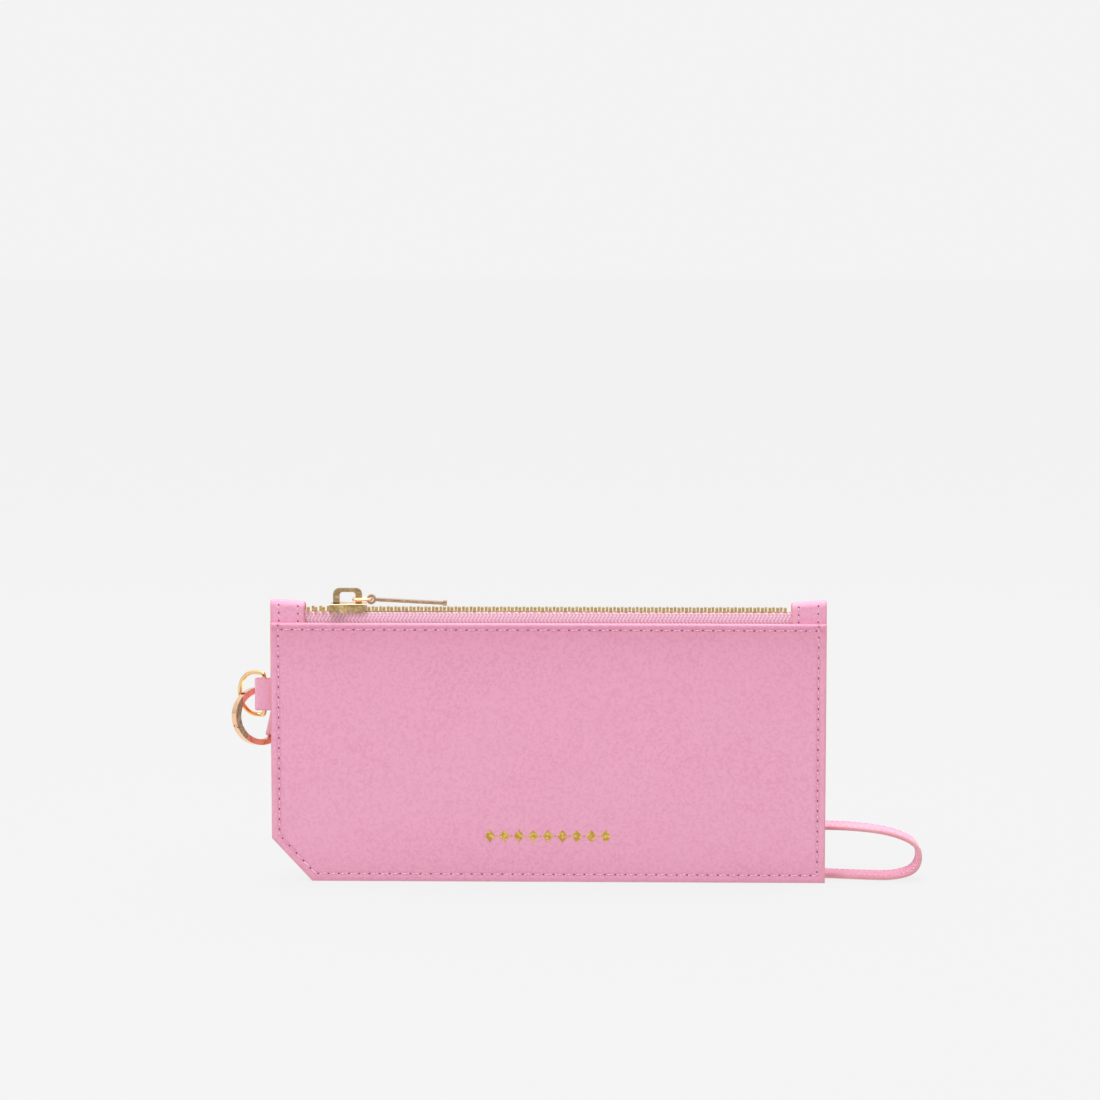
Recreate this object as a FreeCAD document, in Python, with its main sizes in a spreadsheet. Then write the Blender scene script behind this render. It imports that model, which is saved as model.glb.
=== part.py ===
import FreeCAD, Part
import math
import os
import re
import Sketcher

# Zip-top wristlet wallet, in millimetres. It stands upright: X runs along the zip, Y runs from
# the front panel (negative) to the back panel, Z is up, and the origin is the middle of the base.

doc = FreeCAD.newDocument("wristlet_wallet")
V = FreeCAD.Vector

DRIVING = [
    # body
    ("width", 172.0, "side to side"),
    ("tab_top", 88.0, "overall height, to the top of the zip end tabs"),
    ("cut_across", 12.5, "bevelled lower left corner, along X"),
    ("cut_up", 13.5, "bevelled lower left corner, along Z"),
    ("leather", 1.2, "thickness of the panel leather"),
    ("half_core", 1.8, "half the distance between the front and back panels"),
    ("pocket_drop", 7.0, "from the overall height down to the slip pocket's turned edge"),
    ("front_drop", 9.0, "from the overall height down to the front panel's top"),
    ("back_drop", 7.0, "from the overall height down to the back panel's top"),
    ("core_drop", 11.0, "from the overall height down to the seam core and the lining bag"),
    ("welt", 6.0, "width of the bonded seam core along three sides"),
    ("lining", 0.4, "thickness of the lining cloth"),
    ("slack", 0.1, "room between a loose piece and what holds it"),
    # zip
    ("left_tab", 10.7, "length of the left zip end tab"),
    ("right_tab", 10.8, "length of the right zip end tab"),
    ("tape_room", 0.05, "room between a zip tape and the panel outside it"),
    ("tape", 0.45, "thickness of a zip tape"),
    ("tape_edge", 0.75, "beaded edge of a zip tape from the middle plane"),
    ("tape_end", 2.0, "zip tape stops this far inside the side edges"),
    ("teeth_drop", 3.8, "from the overall height down to the underside of the teeth"),
    ("tooth_tall", 1.5, "tooth height"),
    ("tooth_room", 0.1, "outer end of a tooth, inside the panel's inner face"),
    ("tooth_nose", 0.45, "how far a tooth crosses the middle plane"),
    ("tooth_wide", 0.95, "tooth size along the zip"),
    ("tooth_pitch", 2.34, "spacing of the teeth on one tape"),
    ("teeth_end", 0.6, "room between the end teeth and the end tabs"),
    ("spread", 1.0, "how far the slider parts each row of teeth"),
    ("spread_from", 0.6, "where the teeth start to part, left of the slider's middle"),
    ("spread_over", 2.4, "length over which the teeth part"),
    ("stop_long", 1.4, "length of a zip stop"),
    ("stop_gap", 0.35, "inner end of a top stop from the middle plane"),
    ("top_stop_in", 2.7, "top stops, inside the left tab"),
    ("bottom_stop_in", 1.2, "bottom stop, inside the right tab"),
    # slider and pull
    ("slider_x", -62.0, "middle of the slider, zip nearly shut"),
    ("slider_half", 5.6, "half the slider's length"),
    ("plate", 0.8, "thickness of the slider's plates"),
    ("channel", 0.3, "room between the teeth and the slider"),
    ("flange", 0.7, "thickness of the slider's side flanges"),
    ("throat", 0.2, "where the slider's channel starts to widen, left of its middle"),
    ("flare", 2.4, "where the slider's channel is at its widest, left of its middle"),
    ("wedge_tip", 2.6, "tip of the wedge that parts the teeth, left of the middle"),
    ("wedge_full", 3.6, "where the wedge is at its widest, left of the middle"),
    ("wedge_end", 0.6, "room between the wedge and the slider's left end"),
    ("bridge_left", 4.65, "bridge, left of the slider's middle"),
    ("bridge_right", 4.35, "bridge, right of the slider's middle"),
    ("eye_left", 2.6, "bridge opening, left of the slider's middle"),
    ("eye_right", 2.3, "bridge opening, right of the slider's middle"),
    ("eye_tall", 3.5, "height of the bridge opening"),
    ("bridge_roof", 1.2, "thickness of the bridge over its opening"),
    ("bridge_wide", 1.8, "bridge width across the zip"),
    ("link_wire", 0.45, "wire radius of the pull link"),
    ("link_x", 1.6, "pull link's inner bar, right of the slider's middle"),
    ("link_long", 5.6, "pull link, bar to bar"),
    ("link_half", 1.8, "pull link, side wire from the middle plane"),
    ("link_bend", 0.9, "corner radius of the pull link"),
    ("link_lift", 1.2, "pull link above the slider's top plate"),
    ("pull_long", 23.5, "pull, from the middle of its eye to its tip"),
    ("pull_half", 1.5, "half the width of the pull's bar"),
    ("pull_thick", 0.9, "thickness of the pull's bar"),
    ("pull_eye", 1.5, "outside radius of the pull's eye"),
    ("pull_bore", 0.75, "bore of the pull's eye"),
    ("pull_eye_half", 1.1, "half the width of the pull's eye"),
    ("pull_cap", 1.2, "length of the pull's end bead"),
    ("pull_bead", 0.25, "how far the end bead stands proud"),
    ("pull_droop", 2.8, "slope of the resting pull, degrees"),
    # D-ring and its tab
    ("ring_tab_drop", 34.75, "from the overall height down to the D-ring tab's lower edge"),
    ("ring_tab_wide", 10.0, "width of the D-ring tab"),
    ("ring_tab_out", 5.3, "how far the D-ring tab stands out of the side"),
    ("ring_tab_in", 5.0, "how far the D-ring tab is sewn into the side"),
    ("tab_leather", 0.6, "thickness of the D-ring tab's skived leather"),
    ("tab_play", 0.05, "room between the D-ring's bar and its tab"),
    ("d_wire", 0.7, "wire radius of the D-ring"),
    ("d_half", 6.6, "bow radius of the D-ring, to the middle of the wire"),
    ("d_arm", 3.5, "straight arms of the D-ring"),
    ("d_bend", 1.2, "corner radius of the D-ring"),
    ("d_stand", 2.4, "D-ring bar outside the wallet's side edge"),
    ("d_swing", 35.0, "D-ring swung back from the wallet's plane, degrees"),
    # spring-gate ring
    ("hoop_out", 9.1, "outside radius of the gate ring"),
    ("hoop_thick", 1.8, "radial thickness of the gate ring"),
    ("hoop_wide", 3.0, "width of the gate ring along its axis"),
    ("hoop_left", 4.45, "middle of the gate ring outside the wallet's side edge"),
    ("hoop_back", 5.2, "middle of the gate ring behind the middle plane"),
    ("hoop_under", 2.7, "middle of the gate ring below the D-ring tab"),
    ("hoop_yaw", 35.2, "gate ring's axis, turned from facing front, degrees"),
    ("hoop_pitch", 8.0, "gate ring's axis, tipped up, degrees"),
    ("gate_from", 95.0, "where the gate is hinged, degrees"),
    ("gate_span", 76.0, "length of the gate, degrees"),
    ("gate_gap", 0.25, "gap at the free end of the gate"),
    ("gate_room", 14.0, "how far the gap reaches past the gate's span, degrees"),
    ("knuckle", 0.85, "radius of the gate's knuckle"),
    ("tongue_half", 0.6, "half the width of the gate's tongue"),
    ("tongue_span", 14.0, "length of the gate's tongue, degrees"),
    ("cheek_play", 0.15, "room round the knuckle in the ring's slot"),
    ("cheek_from", 0.95, "inner face of the ring's cheeks"),
    ("pin_r", 0.4, "radius of the hinge pin"),
    ("pin_play", 0.05, "radial play of the gate on its pin"),
    ("pin_fit", 0.01, "radial room of the pin in the ring's cheeks"),
    # wrist strap
    ("strap_wide", 10.0, "width of the wrist strap"),
    ("strap_thick", 1.4, "thickness of the doubled wrist strap"),
    ("loop_bore", 2.65, "inner radius of the strap tab where it passes the ring"),
    ("strap_tab_skin", 0.8, "leather of the strap tab"),
    ("strap_tab_long", 19.0, "strap tab, from the ring to its end"),
    ("strap_tab_nip", 8.0, "where the strap tab closes on the strap"),
    ("strap_room", 0.35, "room between the strap and the tab on each face"),
    ("grip_at", 240.0, "where the strap tab sits round the ring, degrees"),
    ("grip_in", 1.0, "strap tab's middle, inside the middle of the ring's band"),
    # foil ornament
    ("foil_pitch", 4.5, "spacing of the ornament's lozenges"),
    ("foil_lozenge", 3.2, "width of a lozenge"),
    ("foil_dot", 0.7, "size of a small square between two lozenges"),
    ("foil_tall", 4.0, "height of the foil ornament"),
    ("foil_low", 12.6, "lower edge of the foil ornament"),
    ("foil_thick", 0.05, "thickness of the foil"),
]

DERIVED = [
    ("tape_out", "=half_core - tape_room", "outer face of a zip tape from the middle plane"),
    ("tooth_out", "=half_core - tooth_room", "outer end of a tooth from the middle plane"),
    ("pocket_top", "=tab_top - pocket_drop", "turned top edge of the slip pocket"),
    ("front_top", "=tab_top - front_drop", "top of the front panel, behind the pocket edge"),
    ("back_top", "=tab_top - back_drop", "top of the back panel"),
    ("core_top", "=tab_top - core_drop", "top of the seam core and of the lining bag"),
    ("teeth_low", "=tab_top - teeth_drop", "underside of the teeth"),
    ("ring_tab_low", "=tab_top - ring_tab_drop", "lower edge of the D-ring tab"),
]

dims = doc.addObject("Spreadsheet::Sheet", "dims")
for row, (alias, value, note) in enumerate(DRIVING + DERIVED, start=1):
    dims.set("A%d" % row, note)
    dims.set("B%d" % row, str(value))
    dims.setAlias("B%d" % row, alias)
doc.recompute()

ALIASES = re.compile(r"\b(%s)\b" % "|".join(alias for alias, _, _ in DRIVING + DERIVED))


def size(formula):
    """The number that a formula of the sheet's names stands for."""
    terms = ALIASES.sub(lambda hit: repr(float(dims.get(hit.group(1)))), formula)
    return float(dims.evalExpression(terms))


def bind(obj, prop, formula):
    """Ties a property to a formula of the sheet's names."""
    obj.setExpression(prop, ALIASES.sub(r"dims.\1", formula))


def place(obj, x="0", y="0", z="0"):
    """Ties an object's place to formulas."""
    for axis, formula in zip("xyz", (x, y, z)):
        bind(obj, "Placement.Base.%s" % axis, formula)


def primitive(kind, name, where=("0", "0", "0"), **sizes):
    """A Part primitive whose sizes and place are formulas."""
    obj = doc.addObject("Part::" + kind, name)
    for prop, formula in sizes.items():
        bind(obj, prop, formula)
    place(obj, *where)
    return obj


def box(name, low, high):
    """A Part::Box between two corners given as formulas."""
    spans = ["(%s)-(%s)" % (top, bottom) for bottom, top in zip(low, high)]
    return primitive("Box", name, low, Length=spans[0], Width=spans[1], Height=spans[2])


def turn(obj, axis, angle):
    """Turns an object about an axis through its own base, by degrees or by a formula."""
    if isinstance(angle, str):
        obj.Placement = FreeCAD.Placement(obj.Placement.Base, FreeCAD.Rotation(axis, 1))
        bind(obj, "Placement.Rotation.Angle", angle)
    else:
        obj.Placement = FreeCAD.Placement(obj.Placement.Base, FreeCAD.Rotation(axis, angle))
    return obj


def cut(name, base, tool):
    result = doc.addObject("Part::Cut", name)
    result.Base = base
    result.Tool = tool
    return result


def fuse(name, pieces):
    result = doc.addObject("Part::MultiFuse", name)
    result.Shapes = pieces
    result.Refine = True
    return result


def common(name, pieces):
    result = doc.addObject("Part::MultiCommon", name)
    result.Shapes = pieces
    return result


def new_body(label):
    body = doc.addObject("PartDesign::Body", label)
    body.Label = label
    return body


def outline(body, plane, points, lift="0"):
    """A closed sketch on one of a body's origin planes, each corner tied to two formulas."""
    sketch = body.newObject("Sketcher::SketchObject", body.Name + "_outline")
    base = [f for f in body.Origin.OriginFeatures if f.Role == plane][0]
    sketch.AttachmentSupport = [(base, "")]
    sketch.MapMode = "FlatFace"
    bind(sketch, "AttachmentOffset.Base.z", lift)
    corners = [V(size(x), size(y), 0) for x, y in points]
    for start, end in zip(corners, corners[1:] + corners[:1]):
        sketch.addGeometry(Part.LineSegment(start, end), False)
    for i in range(len(corners)):
        sketch.addConstraint(Sketcher.Constraint("Coincident", i, 2, (i + 1) % len(corners), 1))
    for i, (x, y) in enumerate(points):
        for kind, formula, other in (("DistanceX", x, -2), ("DistanceY", y, -1)):
            if formula == "0":
                sketch.addConstraint(Sketcher.Constraint("PointOnObject", i, 1, other))
                continue
            index = sketch.addConstraint(Sketcher.Constraint(kind, -1, 1, i, 1, size(formula)))
            bind(sketch, "Constraints[%d]" % index, formula)
    doc.recompute()
    return sketch


def pad(body, sketch, length):
    feature = body.newObject("PartDesign::Pad", body.Name + "_pad")
    feature.Profile = sketch
    bind(feature, "Length", length)
    doc.recompute()
    return feature


def fillet(body, base, edges, radius):
    """Rounds the edges of a feature that the test picks."""
    feature = body.newObject("PartDesign::Fillet", body.Name + "_fillet")
    names = ["Edge%d" % (i + 1) for i, edge in enumerate(base.Shape.Edges) if edges(edge)]
    feature.Base = (base, names)
    bind(feature, "Radius", radius)
    doc.recompute()
    return feature


def group_of(name, pieces):
    """Separate solids kept as one object with a place of its own."""
    result = doc.addObject("Part::Compound", name)
    result.Links = pieces
    return result


def feature_of(label, shape):
    """A sub-part whose shape is worked out here."""
    obj = doc.addObject("Part::Feature", label)
    obj.Shape = shape
    return obj


CLOSE = 0.01       # two places this near are the same place
SAME_WAY = 0.9     # an edge's tangent this much along an axis runs along it
parts = {}


def keep(label, obj):
    obj.Label = label
    parts[label] = obj
    return obj


# ---------------------------------------------------------------- panels, core and lining


def panel(label, top, back_face):
    """A leather panel with the bevelled lower left corner, its rear face at back_face."""
    body = new_body(label)
    pad(body, outline(body, "XZ_Plane", [
        ("-width/2+cut_across", "0"),
        ("width/2", "0"),
        ("width/2", top),
        ("-width/2", top),
        ("-width/2", "cut_up"),
    ]), "leather")
    place(body, y=back_face)
    return keep(label, body)


panel("slip_pocket_panel", "pocket_top", "-half_core-leather")
panel("front_panel", "front_top", "-half_core")
panel("back_panel", "back_top", "half_core+leather")

core = new_body("core_blank")
pad(core, outline(core, "XZ_Plane", [
    ("-width/2+cut_across", "0"),
    ("width/2", "0"),
    ("width/2", "core_top"),
    ("width/2-welt", "core_top"),
    ("width/2-welt", "welt"),
    ("-width/2+cut_across+welt/2", "welt"),
    ("-width/2+welt", "cut_up+welt/2"),
    ("-width/2+welt", "core_top"),
    ("-width/2", "core_top"),
    ("-width/2", "cut_up"),
]), "2*half_core")
place(core, y="half_core")
slot = box(
    "core_slot",
    ("-width/2-1", "-d_wire-tab_leather-slack", "ring_tab_low-slack"),
    ("-width/2+ring_tab_in+slack", "d_wire+tab_leather+slack", "ring_tab_low+ring_tab_wide+slack"),
)
keep("seam_core", cut("seam_core", core, slot))

bag = new_body("lining_bag")
bag_outline = [
    ("-width/2+cut_across+welt/2+slack", "welt+slack"),
    ("width/2-welt-slack", "welt+slack"),
    ("width/2-welt-slack", "core_top"),
    ("-width/2+welt+slack", "core_top"),
    ("-width/2+welt+slack", "cut_up+welt/2+slack"),
]
bag_hollow = [
    ("-width/2+cut_across+welt/2+slack+lining", "welt+slack+lining"),
    ("width/2-welt-slack-lining", "welt+slack+lining"),
    ("width/2-welt-slack-lining", "core_top+1"),
    ("-width/2+welt+slack+lining", "core_top+1"),
    ("-width/2+welt+slack+lining", "cut_up+welt/2+slack+lining/2"),
]
pad(bag, outline(bag, "XZ_Plane", bag_outline), "2*half_core")
hollow = outline(bag, "XZ_Plane", bag_hollow, "2*half_core-lining")
pocket = bag.newObject("PartDesign::Pocket", "bag_pocket")
pocket.Profile = hollow
bind(pocket, "Length", "2*half_core-2*lining")
doc.recompute()
place(bag, y="half_core")
keep("lining_bag", bag)


# ---------------------------------------------------------------- zip


def end_tab(label, start, length):
    """A leather tab folded over one end of the zip."""
    body = new_body(label)
    pad(body, outline(body, "YZ_Plane", [
        ("-half_core-leather", "front_top"),
        ("-half_core", "front_top"),
        ("-half_core", "tab_top-leather"),
        ("half_core", "tab_top-leather"),
        ("half_core", "back_top"),
        ("half_core+leather", "back_top"),
        ("half_core+leather", "tab_top"),
        ("-half_core-leather", "tab_top"),
    ]), length)
    top = size("tab_top") - CLOSE
    fillet(body, body.Tip, lambda edge: min(v.Z for v in edge.Vertexes) > top
           and abs(edge.tangentAt(edge.FirstParameter).x) > SAME_WAY, "leather*0.8")
    place(body, x=start)
    return keep(label, body)


end_tab("zip_tab_left", "-width/2", "left_tab")
end_tab("zip_tab_right", "width/2-right_tab", "right_tab")


def zip_tape(label, side):
    """One woven tape: an upright strip whose top turns in to carry the teeth."""
    s = "%d*" % side
    body = new_body(label)
    pad(body, outline(body, "YZ_Plane", [
        (s + "tape_out", "core_top+slack"),
        (s + "(tape_out-tape)", "core_top+slack"),
        (s + "(tape_out-tape)", "teeth_low-tape"),
        (s + "tape_edge", "teeth_low-tape"),
        (s + "tape_edge", "teeth_low"),
        (s + "tape_out", "teeth_low"),
    ]), "width-2*tape_end")
    place(body, x="-width/2+tape_end")
    return keep(label, body)


zip_tape("zip_tape_front", -1)
zip_tape("zip_tape_rear", 1)


TOOTH_SHOULDER = 0.55   # a tooth is full width over this share of its length
TOOTH_NARROW = 0.8      # width of its nose, as a share of its full width


def tooth(x, side, part_by):
    """One tooth, wide where it grips the tape and narrower at its nose, as a closed prism."""
    half = size("tooth_wide/2")
    out, nose = size("tooth_out") + part_by, -size("tooth_nose") + part_by
    shoulder = out - TOOTH_SHOULDER * (out - nose)
    narrow = TOOTH_NARROW * half
    pts = [(x - half, out), (x + half, out), (x + half, shoulder), (x + narrow, nose),
           (x - narrow, nose), (x - half, shoulder)]
    wire = Part.makePolygon([V(px, side * py, size("teeth_low")) for px, py in pts + pts[:1]])
    return Part.Face(wire).extrude(V(0, 0, size("tooth_tall")))


def tooth_row(label, side, first):
    """The teeth of one tape. Left of the slider's middle the slider has parted them."""
    left, right = size("-width/2+left_tab+teeth_end"), size("width/2-right_tab-teeth_end")
    mid, ramp = size("slider_x-spread_from"), size("spread_over")
    teeth = []
    x = left + first
    while x + size("tooth_wide/2") < right:
        parted = min(max((mid - x) / ramp, 0.0), 1.0) * size("spread")
        teeth.append(tooth(x, side, parted))
        x += size("tooth_pitch")
    return keep(label, feature_of(label, Part.makeCompound(teeth)))


tooth_row("zip_teeth_front", -1, size("tooth_wide/2"))
tooth_row("zip_teeth_rear", 1, size("tooth_wide/2+tooth_pitch/2"))

stops = [box(
    "top_stop_%d" % i,
    ("-width/2+left_tab-top_stop_in", low, "teeth_low"),
    ("-width/2+left_tab-top_stop_in+stop_long", high, "teeth_low+tooth_tall"),
) for i, (low, high) in enumerate([("-tooth_out", "-stop_gap"), ("stop_gap", "tooth_out")])]
keep("zip_top_stops", group_of("zip_top_stops", stops))
keep("zip_bottom_stop", box(
    "zip_bottom_stop",
    ("width/2-right_tab+bottom_stop_in", "-tooth_out", "teeth_low"),
    ("width/2-right_tab+bottom_stop_in+stop_long", "tooth_out", "teeth_low+tooth_tall"),
))

# ---------------------------------------------------------------- slider, bridge, link and pull

# The slider's sketches have their own X from the middle of the slider.
TOP_UNDER = "teeth_low+tooth_tall+channel"
TAIL = "tooth_out+channel*0.8"
MOUTH = "tooth_out+spread+channel*0.8"
PLATE_OUTLINE = [
    ("slider_half", "-(%s+flange)" % TAIL),
    ("slider_half", "%s+flange" % TAIL),
    ("-throat", "%s+flange" % TAIL),
    ("-flare", "%s+flange" % MOUTH),
    ("-slider_half", "%s+flange" % MOUTH),
    ("-slider_half", "-(%s+flange)" % MOUTH),
    ("-flare", "-(%s+flange)" % MOUTH),
    ("-throat", "-(%s+flange)" % TAIL),
]
slider = new_body("zip_slider")
pad(slider, outline(slider, "XY_Plane", PLATE_OUTLINE, TOP_UNDER), "plate")
for side in (-1, 1):
    s = "%d*" % side
    pad(slider, outline(slider, "XY_Plane", [
        ("slider_half", s + "(%s)" % TAIL),
        ("slider_half", s + "(%s+flange)" % TAIL),
        ("-throat", s + "(%s+flange)" % TAIL),
        ("-flare", s + "(%s+flange)" % MOUTH),
        ("-slider_half", s + "(%s+flange)" % MOUTH),
        ("-slider_half", s + "(%s)" % MOUTH),
        ("-flare", s + "(%s)" % MOUTH),
        ("-throat", s + "(%s)" % TAIL),
    ], "teeth_low-channel"), "tooth_tall+2*channel+plate/2")
pad(slider, outline(slider, "XY_Plane", [
    ("-wedge_tip", "0"),
    ("-wedge_full", "tooth_nose*0.9"),
    ("-slider_half+wedge_end", "tooth_nose*0.8"),
    ("-slider_half+wedge_end", "-tooth_nose*0.8"),
    ("-wedge_full", "-tooth_nose*0.9"),
], "teeth_low-tape-channel-plate"), "tape+2*channel+1.5*plate+tooth_tall")
pad(slider, outline(slider, "XY_Plane", [
    ("-slider_half", "-(tape_out-tape-channel)"),
    ("slider_half", "-(tape_out-tape-channel)"),
    ("slider_half", "tape_out-tape-channel"),
    ("-slider_half", "tape_out-tape-channel"),
], "teeth_low-tape-channel-plate"), "plate")
fillet(slider, slider.Tip, lambda edge: min(v.Z for v in edge.Vertexes) >
       size(TOP_UNDER + "+plate") - CLOSE, "plate*0.4")
place(slider, x="slider_x")
keep("zip_slider", slider)

PLATE_TOP = TOP_UNDER + "+plate"
bridge = new_body("slider_bridge")
bridge_pad = pad(bridge, outline(bridge, "XZ_Plane", [
    ("-bridge_left", PLATE_TOP),
    ("-eye_left", PLATE_TOP),
    ("-eye_left", PLATE_TOP + "+eye_tall"),
    ("eye_right", PLATE_TOP + "+eye_tall"),
    ("eye_right", PLATE_TOP),
    ("bridge_right", PLATE_TOP),
    ("bridge_right", PLATE_TOP + "+eye_tall+bridge_roof"),
    ("-bridge_left", PLATE_TOP + "+eye_tall+bridge_roof"),
]), "bridge_wide")
bridge_top = size(PLATE_TOP + "+eye_tall+bridge_roof") - CLOSE
outer_round = fillet(bridge, bridge_pad, lambda edge: abs(edge.tangentAt(0).y) > SAME_WAY
                     and edge.Vertexes[0].Z > bridge_top, "bridge_roof*1.6")
eye_top = size(PLATE_TOP + "+eye_tall")
fillet(bridge, outer_round, lambda edge: abs(edge.tangentAt(edge.FirstParameter).y) > SAME_WAY
       and edge.Curve.TypeId == "Part::GeomLine"
       and abs(edge.Vertexes[0].Z - eye_top) < CLOSE, "bridge_roof*0.8")
place(bridge, x="slider_x", y="bridge_wide/2")
keep("slider_bridge", bridge)


def rod(name, radius, length, where, axis):
    """A Part::Cylinder from a point along +X, +Y or +Z."""
    obj = primitive("Cylinder", name, where, Radius=radius, Height=length)
    if axis == "x":
        turn(obj, V(0, 1, 0), 90)
    if axis == "y":
        turn(obj, V(1, 0, 0), -90)
    return obj


def elbow(name, bend, radius, where, start, sweep=90):
    """A bent stretch of wire in the XY plane, from the angle start, in degrees."""
    obj = primitive("Torus", name, where, Radius1=bend, Radius2=radius)
    obj.Angle1 = -180
    obj.Angle2 = 180
    obj.Angle3 = sweep
    return turn(obj, V(0, 0, 1), start)


LINK_Z = PLATE_TOP + "+link_lift"
near, far = "link_bend", "link_long-link_bend"
side_y = "link_half-link_bend"
link_pieces = [
    rod("link_near", "link_wire", "2*(%s)" % side_y, ("0", "-(%s)" % side_y, "0"), "y"),
    rod("link_far", "link_wire", "2*(%s)" % side_y, ("link_long", "-(%s)" % side_y, "0"), "y"),
    rod("link_front", "link_wire", "link_long-2*link_bend", (near, "-link_half", "0"), "x"),
    rod("link_rear", "link_wire", "link_long-2*link_bend", (near, "link_half", "0"), "x"),
    elbow("link_a", "link_bend", "link_wire", (near, side_y, "0"), 90),
    elbow("link_b", "link_bend", "link_wire", (near, "-(%s)" % side_y, "0"), 180),
    elbow("link_c", "link_bend", "link_wire", (far, "-(%s)" % side_y, "0"), 270),
    elbow("link_d", "link_bend", "link_wire", (far, side_y, "0"), 0),
]
link = fuse("pull_link", link_pieces)
place(link, "slider_x+link_x", "0", LINK_Z)
keep("pull_link", link)

eye = rod("pull_eye_blank", "pull_eye", "2*pull_eye_half", ("0", "-pull_eye_half", "0"), "y")
bar = box("pull_bar", ("pull_eye*0.6", "-pull_half", "-pull_thick/2"),
          ("pull_long", "pull_half", "pull_thick/2"))
neck = box("pull_neck", ("0", "-pull_eye_half", "-pull_thick/2"),
           ("pull_eye*0.6+0.5", "pull_eye_half", "pull_thick/2"))
shoulder_cut = [box(
    "pull_shoulder_%d" % i, ("-1", low, "-pull_eye"), ("pull_eye+pull_bore", high, "pull_eye"),
) for i, (low, high) in enumerate([("-pull_half-1", "-pull_eye_half"),
                                   ("pull_eye_half", "pull_half+1")])]
bead = box("pull_bead",
           ("pull_long-pull_cap", "-pull_half-pull_bead", "-pull_thick/2-pull_bead"),
           ("pull_long", "pull_half+pull_bead", "pull_thick/2+pull_bead"))
bore = rod("pull_eye_bore", "pull_bore", "2*pull_eye_half+2", ("0", "-pull_eye_half-1", "0"), "y")
pull = cut("zip_pull", fuse("pull_solid", [eye, cut(
    "pull_bar_cut", fuse("pull_bar_and_neck", [bar, neck]), fuse("pull_shoulders", shoulder_cut)),
    bead]), bore)
turn(pull, V(0, 1, 0), "pull_droop")
place(pull, "slider_x+link_x+link_long", "0", LINK_Z)
keep("zip_pull", pull)

# ---------------------------------------------------------------- D-ring and its tab

ring_tab = new_body("d_ring_tab")
tab_half = "(d_wire+tab_play+tab_leather)"
fold_x = "-width/2-ring_tab_out"
tab_pad = pad(ring_tab, outline(ring_tab, "XY_Plane", [
    ("-width/2+ring_tab_in", tab_half),
    (fold_x, tab_half),
    (fold_x, "-" + tab_half),
    ("-width/2+ring_tab_in", "-" + tab_half),
    ("-width/2+ring_tab_in", "-(d_wire+tab_play)"),
    (fold_x + "+tab_leather+0.2", "-(d_wire+tab_play)"),
    (fold_x + "+tab_leather+0.2", "d_wire+tab_play"),
    ("-width/2+ring_tab_in", "d_wire+tab_play"),
]), "ring_tab_wide")
fillet(ring_tab, tab_pad, lambda edge: edge.Vertexes[0].X < size(fold_x) + CLOSE
       and abs(edge.tangentAt(0).z) > SAME_WAY, "tab_leather*1.1")
place(ring_tab, z="ring_tab_low")
keep("d_ring_tab", ring_tab)

# The D-ring is drawn flat, bar at its own origin and bow towards -X, then stood up and swung.
arm_out = "-(d_arm)"
d_pieces = [
    rod("d_bar", "d_wire", "2*(d_half-d_bend)", ("0", "-(d_half-d_bend)", "0"), "y"),
    rod("d_arm_low", "d_wire", "d_arm-d_bend", (arm_out, "-d_half", "0"), "x"),
    rod("d_arm_high", "d_wire", "d_arm-d_bend", (arm_out, "d_half", "0"), "x"),
    elbow("d_corner_low", "d_bend", "d_wire", ("-d_bend", "-(d_half-d_bend)", "0"), 270),
    elbow("d_corner_high", "d_bend", "d_wire", ("-d_bend", "d_half-d_bend", "0"), 0),
    elbow("d_bow", "d_half", "d_wire", (arm_out, "0", "0"), 90, 180),
]
d_flat = fuse("d_flat", d_pieces)
turn(d_flat, V(1, 0, 0), 90)
d_ring = group_of("d_ring", [d_flat])
turn(d_ring, V(0, 0, 1), "-d_swing")
place(d_ring, "-width/2-d_stand", "0", "ring_tab_low+ring_tab_wide/2")
keep("d_ring", d_ring)

# ---------------------------------------------------------------- spring-gate ring

yaw, pitch = math.radians(size("hoop_yaw")), math.radians(size("hoop_pitch"))
HOOP_CENTRE = V(size("-width/2-hoop_left"), size("hoop_back"), size("ring_tab_low-hoop_under"))
hoop_axis = V(math.cos(pitch) * math.sin(yaw), -math.cos(pitch) * math.cos(yaw), math.sin(pitch))
hoop_up = hoop_axis.cross(V(0, 1, 0)).normalize()
hoop_side = hoop_axis.cross(hoop_up)
HOOP_TURN = FreeCAD.Rotation(hoop_up, hoop_side, hoop_axis, "ZXY")
HOOP_MID = "(hoop_out-hoop_thick/2)"
PIN_AT = ("%s*cos(gate_from*1deg)" % HOOP_MID, "%s*sin(gate_from*1deg)" % HOOP_MID)


def hoop_rod(name, radius, low, high, at=("0", "0"), angle=None, start=0):
    """A cylinder along the ring's axis, between two heights, or a sector of one."""
    obj = primitive("Cylinder", name, (at[0], at[1], low), Radius=radius,
                    Height="(%s)-(%s)" % (high, low))
    if angle:
        bind(obj, "Angle", angle)
        turn(obj, V(0, 0, 1), start)
    return obj


def band(tag, half):
    """The full ring band, between -half and half along its axis."""
    return cut("band_" + tag,
               hoop_rod("band_out_" + tag, "hoop_out", "-" + half, half),
               hoop_rod("band_in_" + tag, "hoop_out-hoop_thick", "-" + half + "-1", half + "+1"))


def gate_reach(tag, half, extra):
    """What lies past the hinge and within the gate's reach of the pin."""
    sector = hoop_rod("reach_sector_" + tag, "hoop_out+1", "-(%s)" % half, half,
                      angle="gate_span+gate_room", start="gate_from")
    disc = hoop_rod("reach_disc_" + tag, "2*%s*sin(gate_span*0.5deg)+%s" % (HOOP_MID, extra),
                    "-(%s)" % half, half, PIN_AT)
    return common("reach_" + tag, [sector, disc])


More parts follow.
